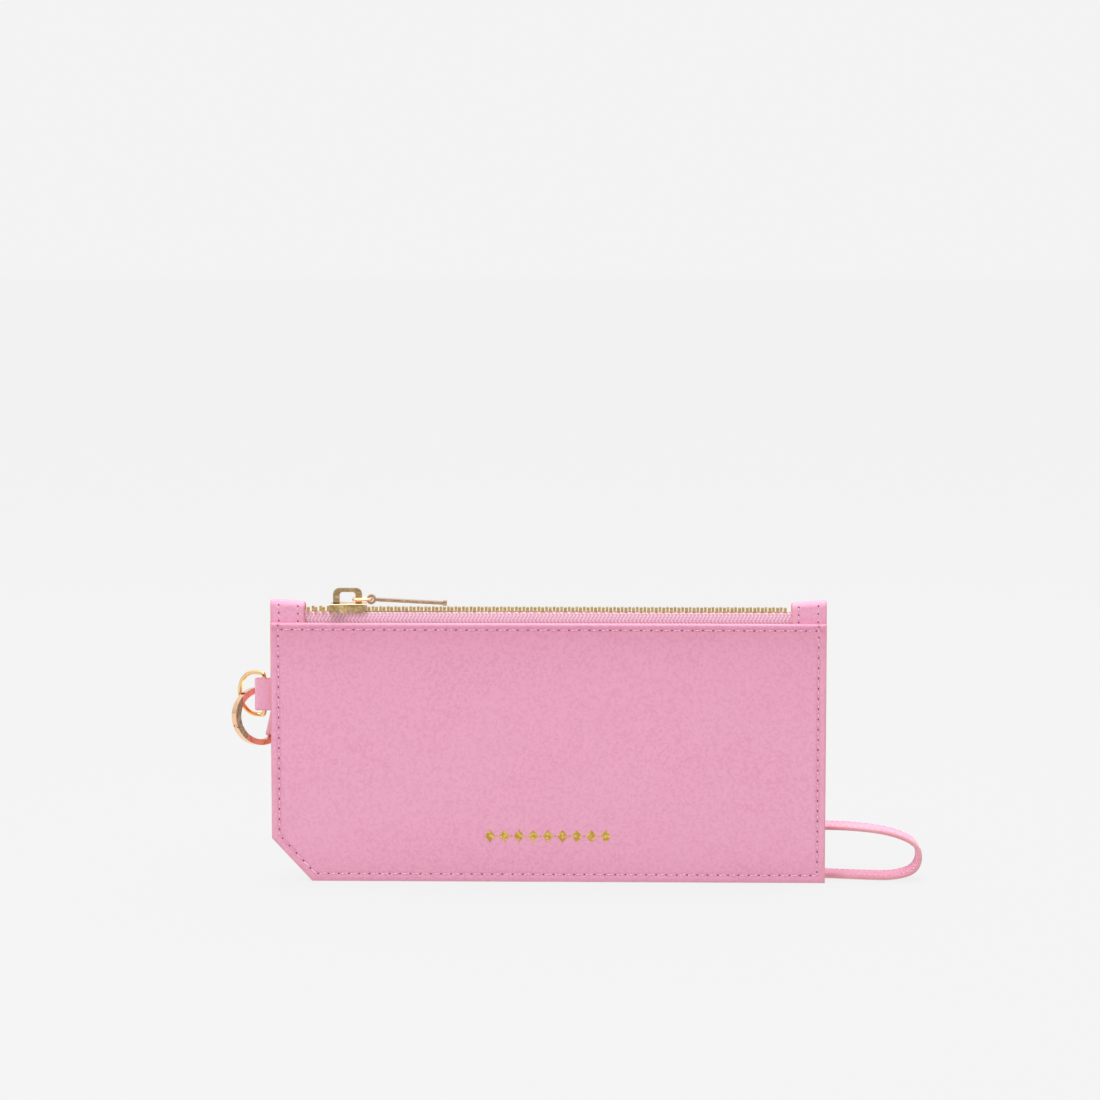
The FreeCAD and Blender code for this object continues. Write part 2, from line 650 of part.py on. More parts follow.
def set_hoop(obj):
    obj.Placement = FreeCAD.Placement(HOOP_CENTRE, HOOP_TURN)
    return obj


EDGE = "(hoop_wide/2)"
gate_main = cut("gate_main",
                common("gate_arc", [band("gate", EDGE), gate_reach("gate", EDGE, "0")]),
                hoop_rod("gate_relief", "knuckle+0.2", "-" + EDGE + "-1", EDGE + "+1", PIN_AT))
gate_tongue = common("gate_tongue", [
    band("tongue", "tongue_half"),
    hoop_rod("tongue_sector", "hoop_out+1", "-tongue_half", "tongue_half", angle="tongue_span",
             start="gate_from")])
gate_knuckle = hoop_rod("gate_knuckle", "knuckle", "-tongue_half", "tongue_half", PIN_AT)
gate_bore = hoop_rod("gate_bore", "pin_r+pin_play", "-" + EDGE + "-1", EDGE + "+1", PIN_AT)
gate = cut("ring_gate", fuse("gate_solid", [gate_main, gate_tongue, gate_knuckle]), gate_bore)
keep("ring_gate", set_hoop(gate))

hoop_main = cut("hoop_main", band("hoop", EDGE), gate_reach("hoop", EDGE + "+1", "gate_gap"))
hoop_slot = hoop_rod("hoop_slot", "knuckle+cheek_play", "-cheek_from", "cheek_from", PIN_AT)
cheeks = [hoop_rod("cheek_%d" % i, "knuckle+pin_play", low, high, PIN_AT) for i, (low, high) in
          enumerate([("-" + EDGE, "-cheek_from"), ("cheek_from", EDGE)])]
pin_hole = hoop_rod("pin_hole", "pin_r+pin_fit", "-" + EDGE + "-1", EDGE + "+1", PIN_AT)
keep("gate_ring_body", set_hoop(cut("gate_ring_body", fuse(
    "hoop_solid", [cut("hoop_slotted", hoop_main, hoop_slot)] + cheeks), pin_hole)))
keep("gate_hinge_pin", set_hoop(group_of(
    "gate_hinge_pin", [hoop_rod("pin_blank", "pin_r", "-" + EDGE, EDGE, PIN_AT)])))
SPRING_WIRE = "(cheek_from-tongue_half)*0.4"
keep("gate_spring", set_hoop(group_of("gate_spring", [primitive(
    "Torus", "spring_coil", PIN_AT + ("(cheek_from+tongue_half)/2",),
    Radius1="pin_r+pin_play+pin_fit+" + SPRING_WIRE, Radius2=SPRING_WIRE)])))

# ---------------------------------------------------------------- wrist strap and its tab

# The strap tab passes round the ring at the back, where the wallet hides it.
grip_turn = math.radians(size("grip_at"))
grip_r = size(HOOP_MID + "-grip_in")
grip = (HOOP_CENTRE + hoop_up * (grip_r * math.cos(grip_turn))
        + hoop_side * (grip_r * math.sin(grip_turn)))
grip_axis = hoop_up * (-math.sin(grip_turn)) + hoop_side * math.cos(grip_turn)
STRAP_HANGS = V(1.0, 0.06, -0.23)   # the way the strap leaves the ring, chosen by hand
pull_way = (STRAP_HANGS - grip_axis * STRAP_HANGS.dot(grip_axis)).normalize()
face_way = grip_axis.cross(pull_way)
GRIP_TURN = FreeCAD.Rotation(pull_way, face_way, grip_axis, "ZXY")


def teardrop(tag, grow, margin):
    """A rod round the ring that closes to a flat strap, along the grip's axis."""
    tall = "strap_wide+%s" % margin
    low = "-(strap_wide+%s)/2" % margin
    nose = primitive("Cylinder", "nose_" + tag, ("0", "0", low), Radius="loop_bore+" + grow,
                     Height=tall)
    body = new_body("wedge_" + tag)
    flat = "(strap_thick+strap_room+%s)" % grow
    pad(body, outline(body, "XY_Plane", [
        ("0", "loop_bore+" + grow),
        ("0", "-(loop_bore+%s)" % grow),
        ("strap_tab_nip", "-" + flat),
        ("strap_tab_long", "-" + flat),
        ("strap_tab_long", flat),
        ("strap_tab_nip", flat),
    ]), tall)
    place(body, z=low)
    return fuse("teardrop_" + tag, [nose, body])


strap_tab = cut("strap_tab", teardrop("skin", "strap_tab_skin", "0"), teardrop("hollow", "0", "2"))
strap_tab.Placement = FreeCAD.Placement(grip, GRIP_TURN)
keep("strap_tab", strap_tab)

# Corners of the strap's route, chosen by hand: from the tab along the back and down to the
# surface, round the free end of the loop, and back above to the tab.
STRAP_ROUTE = [
    V(-75.53, 10.16, 46.0), V(-63.8, 11.0, 43.2), V(-46.4, 12.3, 36.8), V(-24, 12.8, 26.0),
    V(-2, 12.3, 14.0), V(20, 11.0, 5.0), V(42, 9.9, 1.1), V(64, 9.4, 0.74), V(84, 9.1, 0.80),
    V(99, 6.4, 0.74), V(108.5, 4.8, 0.90), V(115.4, 3.8, 3.6), V(115.9, 3.7, 10.9),
    V(108.6, 4.8, 14.6), V(98, 6.3, 16.1), V(84, 9.0, 16.1), V(62, 9.5, 15.2), V(40, 10.1, 15.5),
    V(18, 11.0, 19.0), V(-4, 11.6, 25.3), V(-26, 11.3, 32.8), V(-47.4, 10.5, 39.6),
    V(-63.8, 9.5, 43.85), V(-75.34, 8.73, 46.41),
]
ROLL_LENGTH = 100.0   # the strap turns from upright to lying over this length at each end
STATION_STEP = 6.0


def rounded_route(points):
    """Straight runs joined by tangent arcs, each arc as large as its two runs allow."""
    edges, radii, at = [], [], points[0]
    for before, corner, after in zip(points, points[1:], points[2:]):
        back, ahead = before - corner, after - corner
        reach = 0.45 * min(back.Length, ahead.Length)
        back.normalize()
        ahead.normalize()
        half_turn = (math.pi - back.getAngle(ahead)) / 2
        radii.append(reach / math.tan(half_turn))
        first, last = corner + back * reach, corner + ahead * reach
        inward = (back + ahead).normalize()
        middle = corner + inward * (radii[-1] / math.cos(half_turn) - radii[-1])
        edges.append(Part.LineSegment(at, first).toShape())
        edges.append(Part.Arc(first, middle, last).toShape())
        at = last
    edges.append(Part.LineSegment(at, points[-1]).toShape())
    return Part.Wire(edges), radii


def ribbon(route, width, thick, upright):
    """A flat strap along a route. It stands upright at both ends and lies flat between them."""
    path, radii = rounded_route(route)
    stations, along = [], 0.0
    for edge in path.Edges:
        count = max(2, math.ceil(edge.Length / STATION_STEP) + 1)
        for i in range(0 if not stations else 1, count):
            at = edge.FirstParameter + (edge.LastParameter - edge.FirstParameter) * i / (count - 1)
            stations.append((along + edge.Length * i / (count - 1), edge.valueAt(at),
                             edge.tangentAt(at)))
        along += edge.Length
    sections = []
    for reach, point, way in stations:
        part_rolled = min(1.0, min(reach, along - reach) / ROLL_LENGTH)
        rolled = part_rolled * part_rolled * (3 - 2 * part_rolled)
        side = upright * (1 - rolled) + V(0, 1, 0) * rolled
        side = (side - way * side.dot(way)).normalize()
        up = way.cross(side)
        sections.append([point + side * (a * width / 2) + up * (b * thick / 2)
                         for a, b in ((-1, -1), (1, -1), (1, 1), (-1, 1))])
    faces = [Part.Face(Part.makePolygon(ring + ring[:1])) for ring in (sections[0], sections[-1])]
    for ring, following in zip(sections, sections[1:]):
        for i in range(4):
            j = (i + 1) % 4
            faces.append(Part.makeRuledSurface(
                Part.makeLine(ring[i], ring[j]), Part.makeLine(following[i], following[j])))
    shell = Part.makeCompound(faces)
    shell.sewShape()
    solid = Part.makeSolid(shell.Shells[0])
    if solid.Volume < 0:
        solid.reverse()
    print("strap length %.1f, tightest arc %.1f, volume %.0f against %.0f" % (
        along, min(radii), solid.Volume, along * width * thick))
    return solid


keep("wrist_strap", feature_of("wrist_strap", ribbon(
    STRAP_ROUTE, size("strap_wide"), size("strap_thick"), grip_axis)))

# ---------------------------------------------------------------- foil ornament

LOZENGES = 9


def foil_prism(name, across, wide, tall):
    """A thin lozenge of foil on the slip pocket's face, its middle at across along X."""
    body = new_body(name)
    middle = "foil_low+foil_tall/2"
    pad(body, outline(body, "XZ_Plane", [
        (across + "-" + wide, middle),
        (across, middle + "-" + tall),
        (across + "+" + wide, middle),
        (across, middle + "+" + tall),
    ]), "foil_thick")
    place(body, y="-half_core-2*leather")
    return body


lozenges = [foil_prism("foil_lozenge_%d" % i, "(%d)*foil_pitch" % (i - LOZENGES // 2),
                       "foil_lozenge/2", "foil_tall/2") for i in range(LOZENGES)]
dots = [foil_prism("foil_dot_%d" % i, "(%.1f)*foil_pitch" % (i + 0.5 - LOZENGES // 2),
                   "foil_dot/2", "foil_dot/2") for i in range(LOZENGES - 1)]
keep("foil_ornament", group_of("foil_ornament", lozenges + dots))

# ---------------------------------------------------------------- checks and files

doc.recompute()
for obj in doc.Objects:
    if "Invalid" in obj.State or "Error" in obj.State:
        raise RuntimeError("%s did not build: %s" % (obj.Name, obj.State))
for label, obj in parts.items():
    if obj.Shape.isNull() or not obj.Shape.isValid():
        raise RuntimeError("%s has no valid shape" % label)

os.makedirs("parts", exist_ok=True)
for label, obj in parts.items():
    obj.Shape.exportStep("parts/%s.step" % label)
    box_now = obj.Shape.BoundBox
    print("%-20s solids %3d volume %9.2f  x %7.2f %7.2f  y %6.2f %6.2f  z %6.2f %6.2f" % (
        label, len(obj.Shape.Solids), obj.Shape.Volume, box_now.XMin, box_now.XMax,
        box_now.YMin, box_now.YMax, box_now.ZMin, box_now.ZMax))
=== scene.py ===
import math

import bpy
import numpy as np
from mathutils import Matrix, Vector


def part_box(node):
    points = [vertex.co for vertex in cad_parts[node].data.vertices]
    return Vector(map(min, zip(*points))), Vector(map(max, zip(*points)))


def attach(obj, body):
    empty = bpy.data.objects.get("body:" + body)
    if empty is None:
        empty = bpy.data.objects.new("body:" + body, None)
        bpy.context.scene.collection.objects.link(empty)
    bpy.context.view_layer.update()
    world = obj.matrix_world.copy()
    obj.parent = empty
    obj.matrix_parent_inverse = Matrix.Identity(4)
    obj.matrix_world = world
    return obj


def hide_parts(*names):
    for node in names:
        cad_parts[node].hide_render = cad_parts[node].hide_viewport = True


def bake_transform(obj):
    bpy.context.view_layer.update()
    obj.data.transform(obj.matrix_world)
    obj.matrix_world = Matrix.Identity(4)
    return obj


# A slim zip-top wristlet in pink leather. Sizes below are in millimetres, in the frame of the CAD:
# X along the zip, -Y the front with the slip pocket, Z up. Every mesh is turned to metres at the end.
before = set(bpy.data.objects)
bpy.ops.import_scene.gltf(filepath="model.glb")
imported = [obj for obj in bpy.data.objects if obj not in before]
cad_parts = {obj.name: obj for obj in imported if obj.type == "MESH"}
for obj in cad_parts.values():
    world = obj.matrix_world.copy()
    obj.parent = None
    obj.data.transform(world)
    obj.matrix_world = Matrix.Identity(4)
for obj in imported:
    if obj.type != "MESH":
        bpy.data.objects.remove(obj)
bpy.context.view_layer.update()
MM = 0.001


def node_box(name):
    """A CAD node's lowest and highest corners, in millimetres."""
    low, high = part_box(name)
    return [v / MM for v in low], [v / MM for v in high]


# ------------------------------------------------------------------ finishes


def linear(code):
    """An sRGB hex value as linear red, green, blue and alpha."""
    parts = [int(code[i:i + 2], 16) / 255 for i in (1, 3, 5)]
    return tuple(c / 12.92 if c <= 0.04045 else ((c + 0.055) / 1.055) ** 2.4 for c in parts) + (1.0,)


def add(tree, kind, inputs=None, **settings):
    """Adds a node. Settings are its properties; inputs are values or other nodes' sockets."""
    node = tree.nodes.new("ShaderNode" + kind)
    for name, value in settings.items():
        setattr(node, name, value)
    for name, value in (inputs or {}).items():
        if isinstance(value, bpy.types.NodeSocket):
            tree.links.new(value, node.inputs[name])
        else:
            node.inputs[name].default_value = value
    return node


def finish_of(name, **constants):
    """A new material, its node tree and its shader, with constants set on the shader itself."""
    material = bpy.data.materials.new(name)
    material.use_nodes = True
    shader = material.node_tree.nodes["Principled BSDF"]
    for key, value in constants.items():
        shader.inputs[key.replace("_", " ")].default_value = value
    return material, material.node_tree, shader


def shade_with(tree, shader, colour=None, roughness=None, normal=None):
    for name, socket in (("Base Color", colour), ("Roughness", roughness), ("Normal", normal)):
        if socket is not None:
            tree.links.new(socket, shader.inputs[name])


def per_mm(size):
    """The texture scale that makes one cell of a pattern this many millimetres across."""
    return 1.0 / (size * MM)


def mixed(tree, factor, first, second, blend="MIX"):
    """Two colours mixed by a factor; the result's socket."""
    node = add(tree, "Mix", data_type="RGBA", blend_type=blend)
    for index, value in ((0, factor), (6, first), (7, second)):
        if isinstance(value, bpy.types.NodeSocket):
            tree.links.new(value, node.inputs[index])
        else:
            node.inputs[index].default_value = value
    return node.outputs[2]


def ranged(tree, value, low, high, to_low=0.0, to_high=1.0):
    """A value stretched from one range to another and kept inside it; the result's socket."""
    return add(tree, "MapRange", {"Value": value, "From Min": low, "From Max": high,
                                  "To Min": to_low, "To Max": to_high}).outputs["Result"]


def pigmented_leather(name, plain, deep, light):
    """Calf leather, drum dyed, pigment coated and embossed with a fine pebble: soft light rolls
    over shallow domes under a millimetre wide, and the colour clouds a little from hide to hide."""
    material, tree, shader = finish_of(name, Roughness=0.5, IOR=1.48, Sheen_Weight=0.22,
                                       Sheen_Roughness=0.45)
    shader.inputs["Sheen Tint"].default_value = linear("#FFE6F2")
    place = add(tree, "TexCoord").outputs["Object"]
    warp = add(tree, "TexNoise", {"Vector": place, "Scale": per_mm(2.5), "Detail": 2.0})
    nudge = add(tree, "VectorMath", {0: warp.outputs["Color"], "Scale": 0.5 * MM}, operation="SCALE")
    moved = add(tree, "VectorMath", {0: place, 1: nudge.outputs[0]}, operation="ADD")
    pebble = add(tree, "TexVoronoi", {"Vector": moved.outputs[0], "Scale": per_mm(0.8)},
                 feature="DISTANCE_TO_EDGE")
    dome = ranged(tree, pebble.outputs["Distance"], 0.0, 0.32)
    pore = add(tree, "TexNoise", {"Vector": place, "Scale": per_mm(0.35), "Detail": 3.0,
                                  "Roughness": 0.6}).outputs["Fac"]
    mottle = add(tree, "TexNoise", {"Vector": place, "Scale": per_mm(0.9), "Detail": 3.0,
                                    "Roughness": 0.65}).outputs["Fac"]
    cloud = add(tree, "TexNoise", {"Vector": place, "Scale": per_mm(26.0), "Detail": 2.0}).outputs["Fac"]
    tone = mixed(tree, ranged(tree, mottle, 0.38, 0.56), linear(deep), linear(plain))
    tone = mixed(tree, ranged(tree, cloud, 0.35, 0.75, 0.0, 0.30), tone, linear(light))
    # The pebble's valleys are painted a little deeper pink: painted shade between the domes.
    tone = mixed(tree, ranged(tree, dome, 0.0, 0.5, 0.22, 0.0), tone, linear(deep))
    # seam_shade is painted shade: it deepens the pink along the stitch grooves, in a band under the pocket's
    # turned top and towards the bottom.
    seam = add(tree, "Attribute", attribute_name="seam_shade").outputs["Fac"]
    tone = mixed(tree, seam, tone, linear("#E0B4C2"), "MULTIPLY")
    height = add(tree, "Math", {0: dome, 1: ranged(tree, pore, 0.3, 0.7, 0.0, 0.35)}, operation="ADD")
    relief = add(tree, "Bump", {"Height": height.outputs[0], "Strength": 0.45, "Distance": 0.07 * MM})
    shade_with(tree, shader, tone, ranged(tree, mottle, 0.3, 0.7, 0.44, 0.56), relief.outputs["Normal"])
    return material


def edge_paint(name, code, worn):
    """Acrylic edge paint, rolled on in two coats over the cut edges: satin, a little lumpy, and
    worn paler where the corners rub."""
    material, tree, shader = finish_of(name, Roughness=0.42, IOR=1.5)
    place = add(tree, "TexCoord").outputs["Object"]
    lumps = add(tree, "TexNoise", {"Vector": place, "Scale": per_mm(1.6), "Detail": 3.0}).outputs["Fac"]
    rubbed = add(tree, "TexNoise", {"Vector": place, "Scale": per_mm(7.0), "Detail": 4.0}).outputs["Fac"]
    tone = mixed(tree, ranged(tree, rubbed, 0.45, 0.7, 0.0, 0.6), linear(code), linear(worn))
    relief = add(tree, "Bump", {"Height": lumps, "Strength": 0.3, "Distance": 0.08 * MM})
    shade_with(tree, shader, tone, ranged(tree, lumps, 0.3, 0.7, 0.36, 0.5), relief.outputs["Normal"])
    return material


def bonded_thread(name, code):
    """Bonded polyester thread, twisted from three plies: the plies show as fine slanting ridges
    drawn twice their real width, each ridge painted pale as a highlight, a bright streak on each stitch, and
    the grooves between them painted deeper as shade."""
    material, tree, shader = finish_of(name, Roughness=0.34, IOR=1.53, Sheen_Weight=0.3)
    place = add(tree, "TexCoord").outputs["Object"]
    ply = add(tree, "TexWave", {"Vector": place, "Scale": per_mm(2.2), "Distortion": 0.4},
              bands_direction="DIAGONAL")
    # Painted highlight on the ply ridges and painted shade in the grooves between them.
    tone = mixed(tree, ranged(tree, ply.outputs["Fac"], 0.55, 1.0), linear("#EFA4C2"), linear(code))
    relief = add(tree, "Bump", {"Height": ply.outputs["Fac"], "Strength": 0.5, "Distance": 0.05 * MM})
    shade_with(tree, shader, tone, normal=relief.outputs["Normal"])
    return material


def needle_hole_shade(name):
    """A needle hole drawn as a flat dark disc on the face: painted shade of the hole, mottled, rough and
    without shine.
    """
    material, tree, shader = finish_of(name, Roughness=0.9, IOR=1.4)
    place = add(tree, "TexCoord").outputs["Object"]
    hole_shade_mottle = add(tree, "TexNoise", {"Vector": place, "Scale": per_mm(0.2)}).outputs["Fac"]
    shade_with(tree, shader, mixed(tree, hole_shade_mottle, linear("#6E2F44"), linear("#8C4460")))
    return material


def woven_tape(name):
    """Polyester zip tape in a herringbone weave: painted highlight, pale where the yarns crown, and painted
    shade, deep in the crossings.
    """
    material, tree, shader = finish_of(name, Roughness=0.62, IOR=1.5, Sheen_Weight=0.5,
                                       Sheen_Roughness=0.35)
    place = add(tree, "TexCoord").outputs["Object"]
    crown = add(tree, "Attribute", attribute_name="yarn_crown").outputs["Fac"]
    fuzz = add(tree, "TexNoise", {"Vector": place, "Scale": per_mm(0.3), "Detail": 3.0}).outputs["Fac"]
    # Painted highlight on the yarn crowns and painted shade in the crossings, both following the weave
    # height.
    tone = mixed(tree, ranged(tree, crown, 0.12, 0.7), linear("#EFA3C2"), linear("#FFE4F0"))
    tone = mixed(tree, ranged(tree, fuzz, 0.35, 0.7, 0.0, 0.35), tone, linear("#F8BFD6"))
    relief = add(tree, "Bump", {"Height": fuzz, "Strength": 0.4, "Distance": 0.06 * MM})
    shade_with(tree, shader, tone, ranged(tree, fuzz, 0.3, 0.7, 0.55, 0.7), relief.outputs["Normal"])
    return material


def lining_twill(name):
    """Viscose lining in a plain weave, threads 0.3 mm apart drawn at 0.6 mm so that they show."""
    material, tree, shader = finish_of(name, Roughness=0.7, IOR=1.46, Sheen_Weight=0.35)
    place = add(tree, "TexCoord").outputs["Object"]
    warp = add(tree, "TexWave", {"Vector": place, "Scale": per_mm(0.6 * 6.28)}, bands_direction="X")
    weft = add(tree, "TexWave", {"Vector": place, "Scale": per_mm(0.6 * 6.28)}, bands_direction="Z")
    cross = add(tree, "Math", {0: warp.outputs["Fac"], 1: weft.outputs["Fac"]}, operation="MULTIPLY")
    # The colour follows the weave's relief: thread crowns painted pale as a highlight, the gaps between
    # threads painted darker as shade.
    tone = mixed(tree, cross.outputs[0], linear("#C87C98"), linear("#E4A3BC"))
    relief = add(tree, "Bump", {"Height": cross.outputs[0], "Strength": 0.4, "Distance": 0.1 * MM})
    shade_with(tree, shader, tone, normal=relief.outputs["Normal"])
    return material


def plated_metal(name, code, tarnish, rough_low, rough_high, lap=0.5):
    """Zinc die casting or wire, tumbled smooth and plated: a mirror with faint polishing laps, its
    faces gently rounded by the tumbling, its colour deeper where the plating is thin."""
    material, tree, shader = finish_of(name, Metallic=1.0, Roughness=rough_low)
    place = add(tree, "TexCoord").outputs["Object"]
    laps = add(tree, "TexNoise", {"Vector": place, "Scale": per_mm(lap), "Detail": 3.0}).outputs["Fac"]
    film = add(tree, "TexNoise", {"Vector": place, "Scale": per_mm(1.6), "Detail": 1.0}).outputs["Fac"]
    tone = mixed(tree, ranged(tree, film, 0.4, 0.7, 0.0, 0.5), linear(code), linear(tarnish))
    relief = add(tree, "Bump", {"Height": film, "Strength": 0.3, "Distance": 0.12 * MM})
    shade_with(tree, shader, tone, ranged(tree, laps, 0.3, 0.7, rough_low, rough_high),
               relief.outputs["Normal"])
    return material


def stamped_foil(name):
    """Metallised foil, pressed hot into the grain: gold broken by the pebble under it."""
    material, tree, shader = finish_of(name, Metallic=1.0, Roughness=0.3)
    place = add(tree, "TexCoord").outputs["Object"]
    grain = add(tree, "TexVoronoi", {"Vector": place, "Scale": per_mm(0.85)}).outputs["Distance"]
    tone = mixed(tree, ranged(tree, grain, 0.2, 0.7), linear("#F6D57E"), linear("#D9A94A"))
    relief = add(tree, "Bump", {"Height": grain, "Strength": 0.5, "Distance": 0.08 * MM})
    shade_with(tree, shader, tone, ranged(tree, grain, 0.1, 0.8, 0.26, 0.44), relief.outputs["Normal"])
    return material


LEATHER = pigmented_leather("pigmented_leather", "#F6AECA", "#ECA0BF", "#F8B4CE")
EDGE = edge_paint("acrylic_edge_paint", "#E39CA8", "#EDB4B8")
THREAD = bonded_thread("bonded_thread", "#FFDCE9")
HOLE_SHADE = needle_hole_shade("needle_hole_shade")
TAPE = woven_tape("herringbone_tape")
LINING = lining_twill("lining_weave")
BRASS = plated_metal("polished_brass_teeth", "#FFDC9A", "#F0B86C", 0.12, 0.22)
GOLD = plated_metal("light_gold_plate", "#FCD8A4", "#F2BC80", 0.06, 0.13)
ROSE = plated_metal("rose_gold_plate", "#FFD4AC", "#F6B486", 0.08, 0.16)
STEEL = plated_metal("drawn_spring_steel", "#C9C9CC", "#9C9CA2", 0.25, 0.35, lap=0.2)
FOIL = stamped_foil("hot_stamped_foil")

# ------------------------------------------------------------------ sewn pieces

SEWN_FINISHES = (LEATHER, EDGE, THREAD, HOLE_SHADE)
ON_LEATHER, ON_EDGE, ON_THREAD, ON_HOLE_SHADE = range(4)


class Sewn:
    """Gathers the points and faces of one sewn piece, in millimetres."""

    def __init__(self):
        self.points, self.faces, self.finish, self.shade = [], [], [], []

    def add(self, points, faces, finish, shade=None):
        """Adds a patch. The finish is one index, or one for each face."""
        start = len(self.points)
        self.points.extend(map(tuple, points))
        self.faces.extend(tuple(i + start for i in face) for face in faces)
        self.finish.extend([finish] * len(faces) if isinstance(finish, int) else finish)
        self.shade.extend([0.0] * len(points) if shade is None else shade)

    def piece(self, name, attribute="seam_shade", finishes=SEWN_FINISHES):
        mesh = bpy.data.meshes.new(name)
        mesh.from_pydata((np.array(self.points) * MM).tolist(), [], self.faces)
        for material in finishes:
            mesh.materials.append(material)
        mesh.polygons.foreach_set("material_index", self.finish)
        mesh.polygons.foreach_set("use_smooth", [True] * len(mesh.polygons))
        mesh.attributes.new(attribute, "FLOAT", "POINT").data.foreach_set("value", self.shade)
        mesh.validate()
        mesh.update()
        obj = bpy.data.objects.new(name, mesh)
        bpy.context.scene.collection.objects.link(obj)
        return obj


STITCH = 3.2            # stitch length
HOLE_LONG, HOLE_WIDE = 0.30, 0.24
THREAD_R = 0.19
THREAD_SIDES = 8


def stitches(sewn, line, outward, pitch=STITCH, slant=0.12):
    """Lockstitches along a line of points: each rises out of one needle hole and dips into the next."""
    line, outward = np.array(line, float), np.array(outward, float)
    reach = np.concatenate([[0], np.cumsum(np.linalg.norm(np.diff(line, axis=0), axis=1))])
    count = max(1, round(reach[-1] / pitch))

    def at(s):
        return (np.array([np.interp(s, reach, line[:, k]) for k in range(3)]),
                np.array([np.interp(s, reach, outward[:, k]) for k in range(3)]))

    for i in range(count):
        first, last = reach[-1] * i / count, reach[-1] * (i + 1) / count
        rings = []
        for u in np.linspace(0.0, 1.0, 9):
            here, up = at(first + (last - first) * (0.07 + 0.86 * u))
            ahead, _ = at(min(first + (last - first) * (0.12 + 0.86 * u), reach[-1]))
            way = ahead - here
            way = way / max(np.linalg.norm(way), 1e-9)
            across = np.cross(up, way)
            across /= np.linalg.norm(across)
            bow = math.sin(math.pi * u) ** 0.45
            middle = here + up * (0.20 * bow - 0.16) + across * slant * (2 * u - 1)
            r = THREAD_R * (0.55 + 0.45 * bow)
            rings.append([middle + r * (math.cos(a) * across + math.sin(a) * 0.85 * up)
                          for a in np.linspace(0, 2 * math.pi, THREAD_SIDES, endpoint=False)])
        points = [p for ring in rings for p in ring]
        faces = [(r * THREAD_SIDES + k, r * THREAD_SIDES + (k + 1) % THREAD_SIDES,
                  (r + 1) * THREAD_SIDES + (k + 1) % THREAD_SIDES, (r + 1) * THREAD_SIDES + k)
                 for r in range(len(rings) - 1) for k in range(THREAD_SIDES)]
        sewn.add(points, faces, ON_THREAD)
    # A flat dark disc at each needle hole stands for the hole: painted shade.
    for i in range(count + 1):
        here, up = at(reach[-1] * i / count)
        ahead, _ = at(min(reach[-1] * i / count + 0.2, reach[-1]))
        behind, _ = at(max(reach[-1] * i / count - 0.2, 0.0))
        way = (ahead - behind) / max(np.linalg.norm(ahead - behind), 1e-9)
        across = np.cross(up, way)
        across /= np.linalg.norm(across)
        rim = [here + up * 0.03 + HOLE_LONG * math.cos(a) * way + HOLE_WIDE * math.sin(a) * across
               for a in np.linspace(0, 2 * math.pi, 10, endpoint=False)]
        faces = [(k, (k + 1) % 10, 10) for k in range(10)]
        sewn.add(rim + [here + up * 0.04], faces, ON_HOLE_SHADE)


# ------------------------------------------------------------------ panels

(LEFT, _, _), (RIGHT, _, POCKET_TOP) = node_box("slip_pocket_panel")
CUT_ACROSS, CUT_UP = 12.5, 13.5     # the bevelled lower left corner
SEAM = 2.5                          # stitch line inside the side and bottom edges
TOP_SEAM = 2.05                     # stitch line below the pocket's turned edge
EDGE_ROUND = 0.85
GROOVE, GROOVE_HALF = 0.13, 0.5
# The pocket lies flat under the foil ornament, and its slack fades in around it.
FLAT_HALF_WIDE, FLAT_MID, FLAT_HALF_TALL = 20, 14.6, 3
FLAT_FADE_X, FLAT_FADE_Z = 6, 5
RING_TAB_LOW, RING_TAB_HIGH = node_box("d_ring_tab")[0][2], node_box("d_ring_tab")[1][2]


def left_at(z):
    """Where the left edge is at a height, along the bevel near the base."""
    return LEFT + CUT_ACROSS * max(0.0, 1 - z / CUT_UP)


def from_sides(x, z):
    """Distance in from the nearest of the side, bevelled and bottom edges."""
    bevel = ((x - LEFT) * CUT_UP + z * CUT_ACROSS - CUT_UP * CUT_ACROSS) / math.hypot(CUT_UP, CUT_ACROSS)
    return min(x - LEFT, RIGHT - x, z, bevel)


def groove(distance, depth=GROOVE, half=GROOVE_HALF):
    return depth * math.exp(-(distance / half) ** 2)


def rounding(distance, radius):
    """How far a surface has fallen away, at a distance in from a rounded edge."""
    if distance >= radius:
        return 0.0
    return radius - math.sqrt(max(0.0, radius ** 2 - (radius - distance) ** 2))


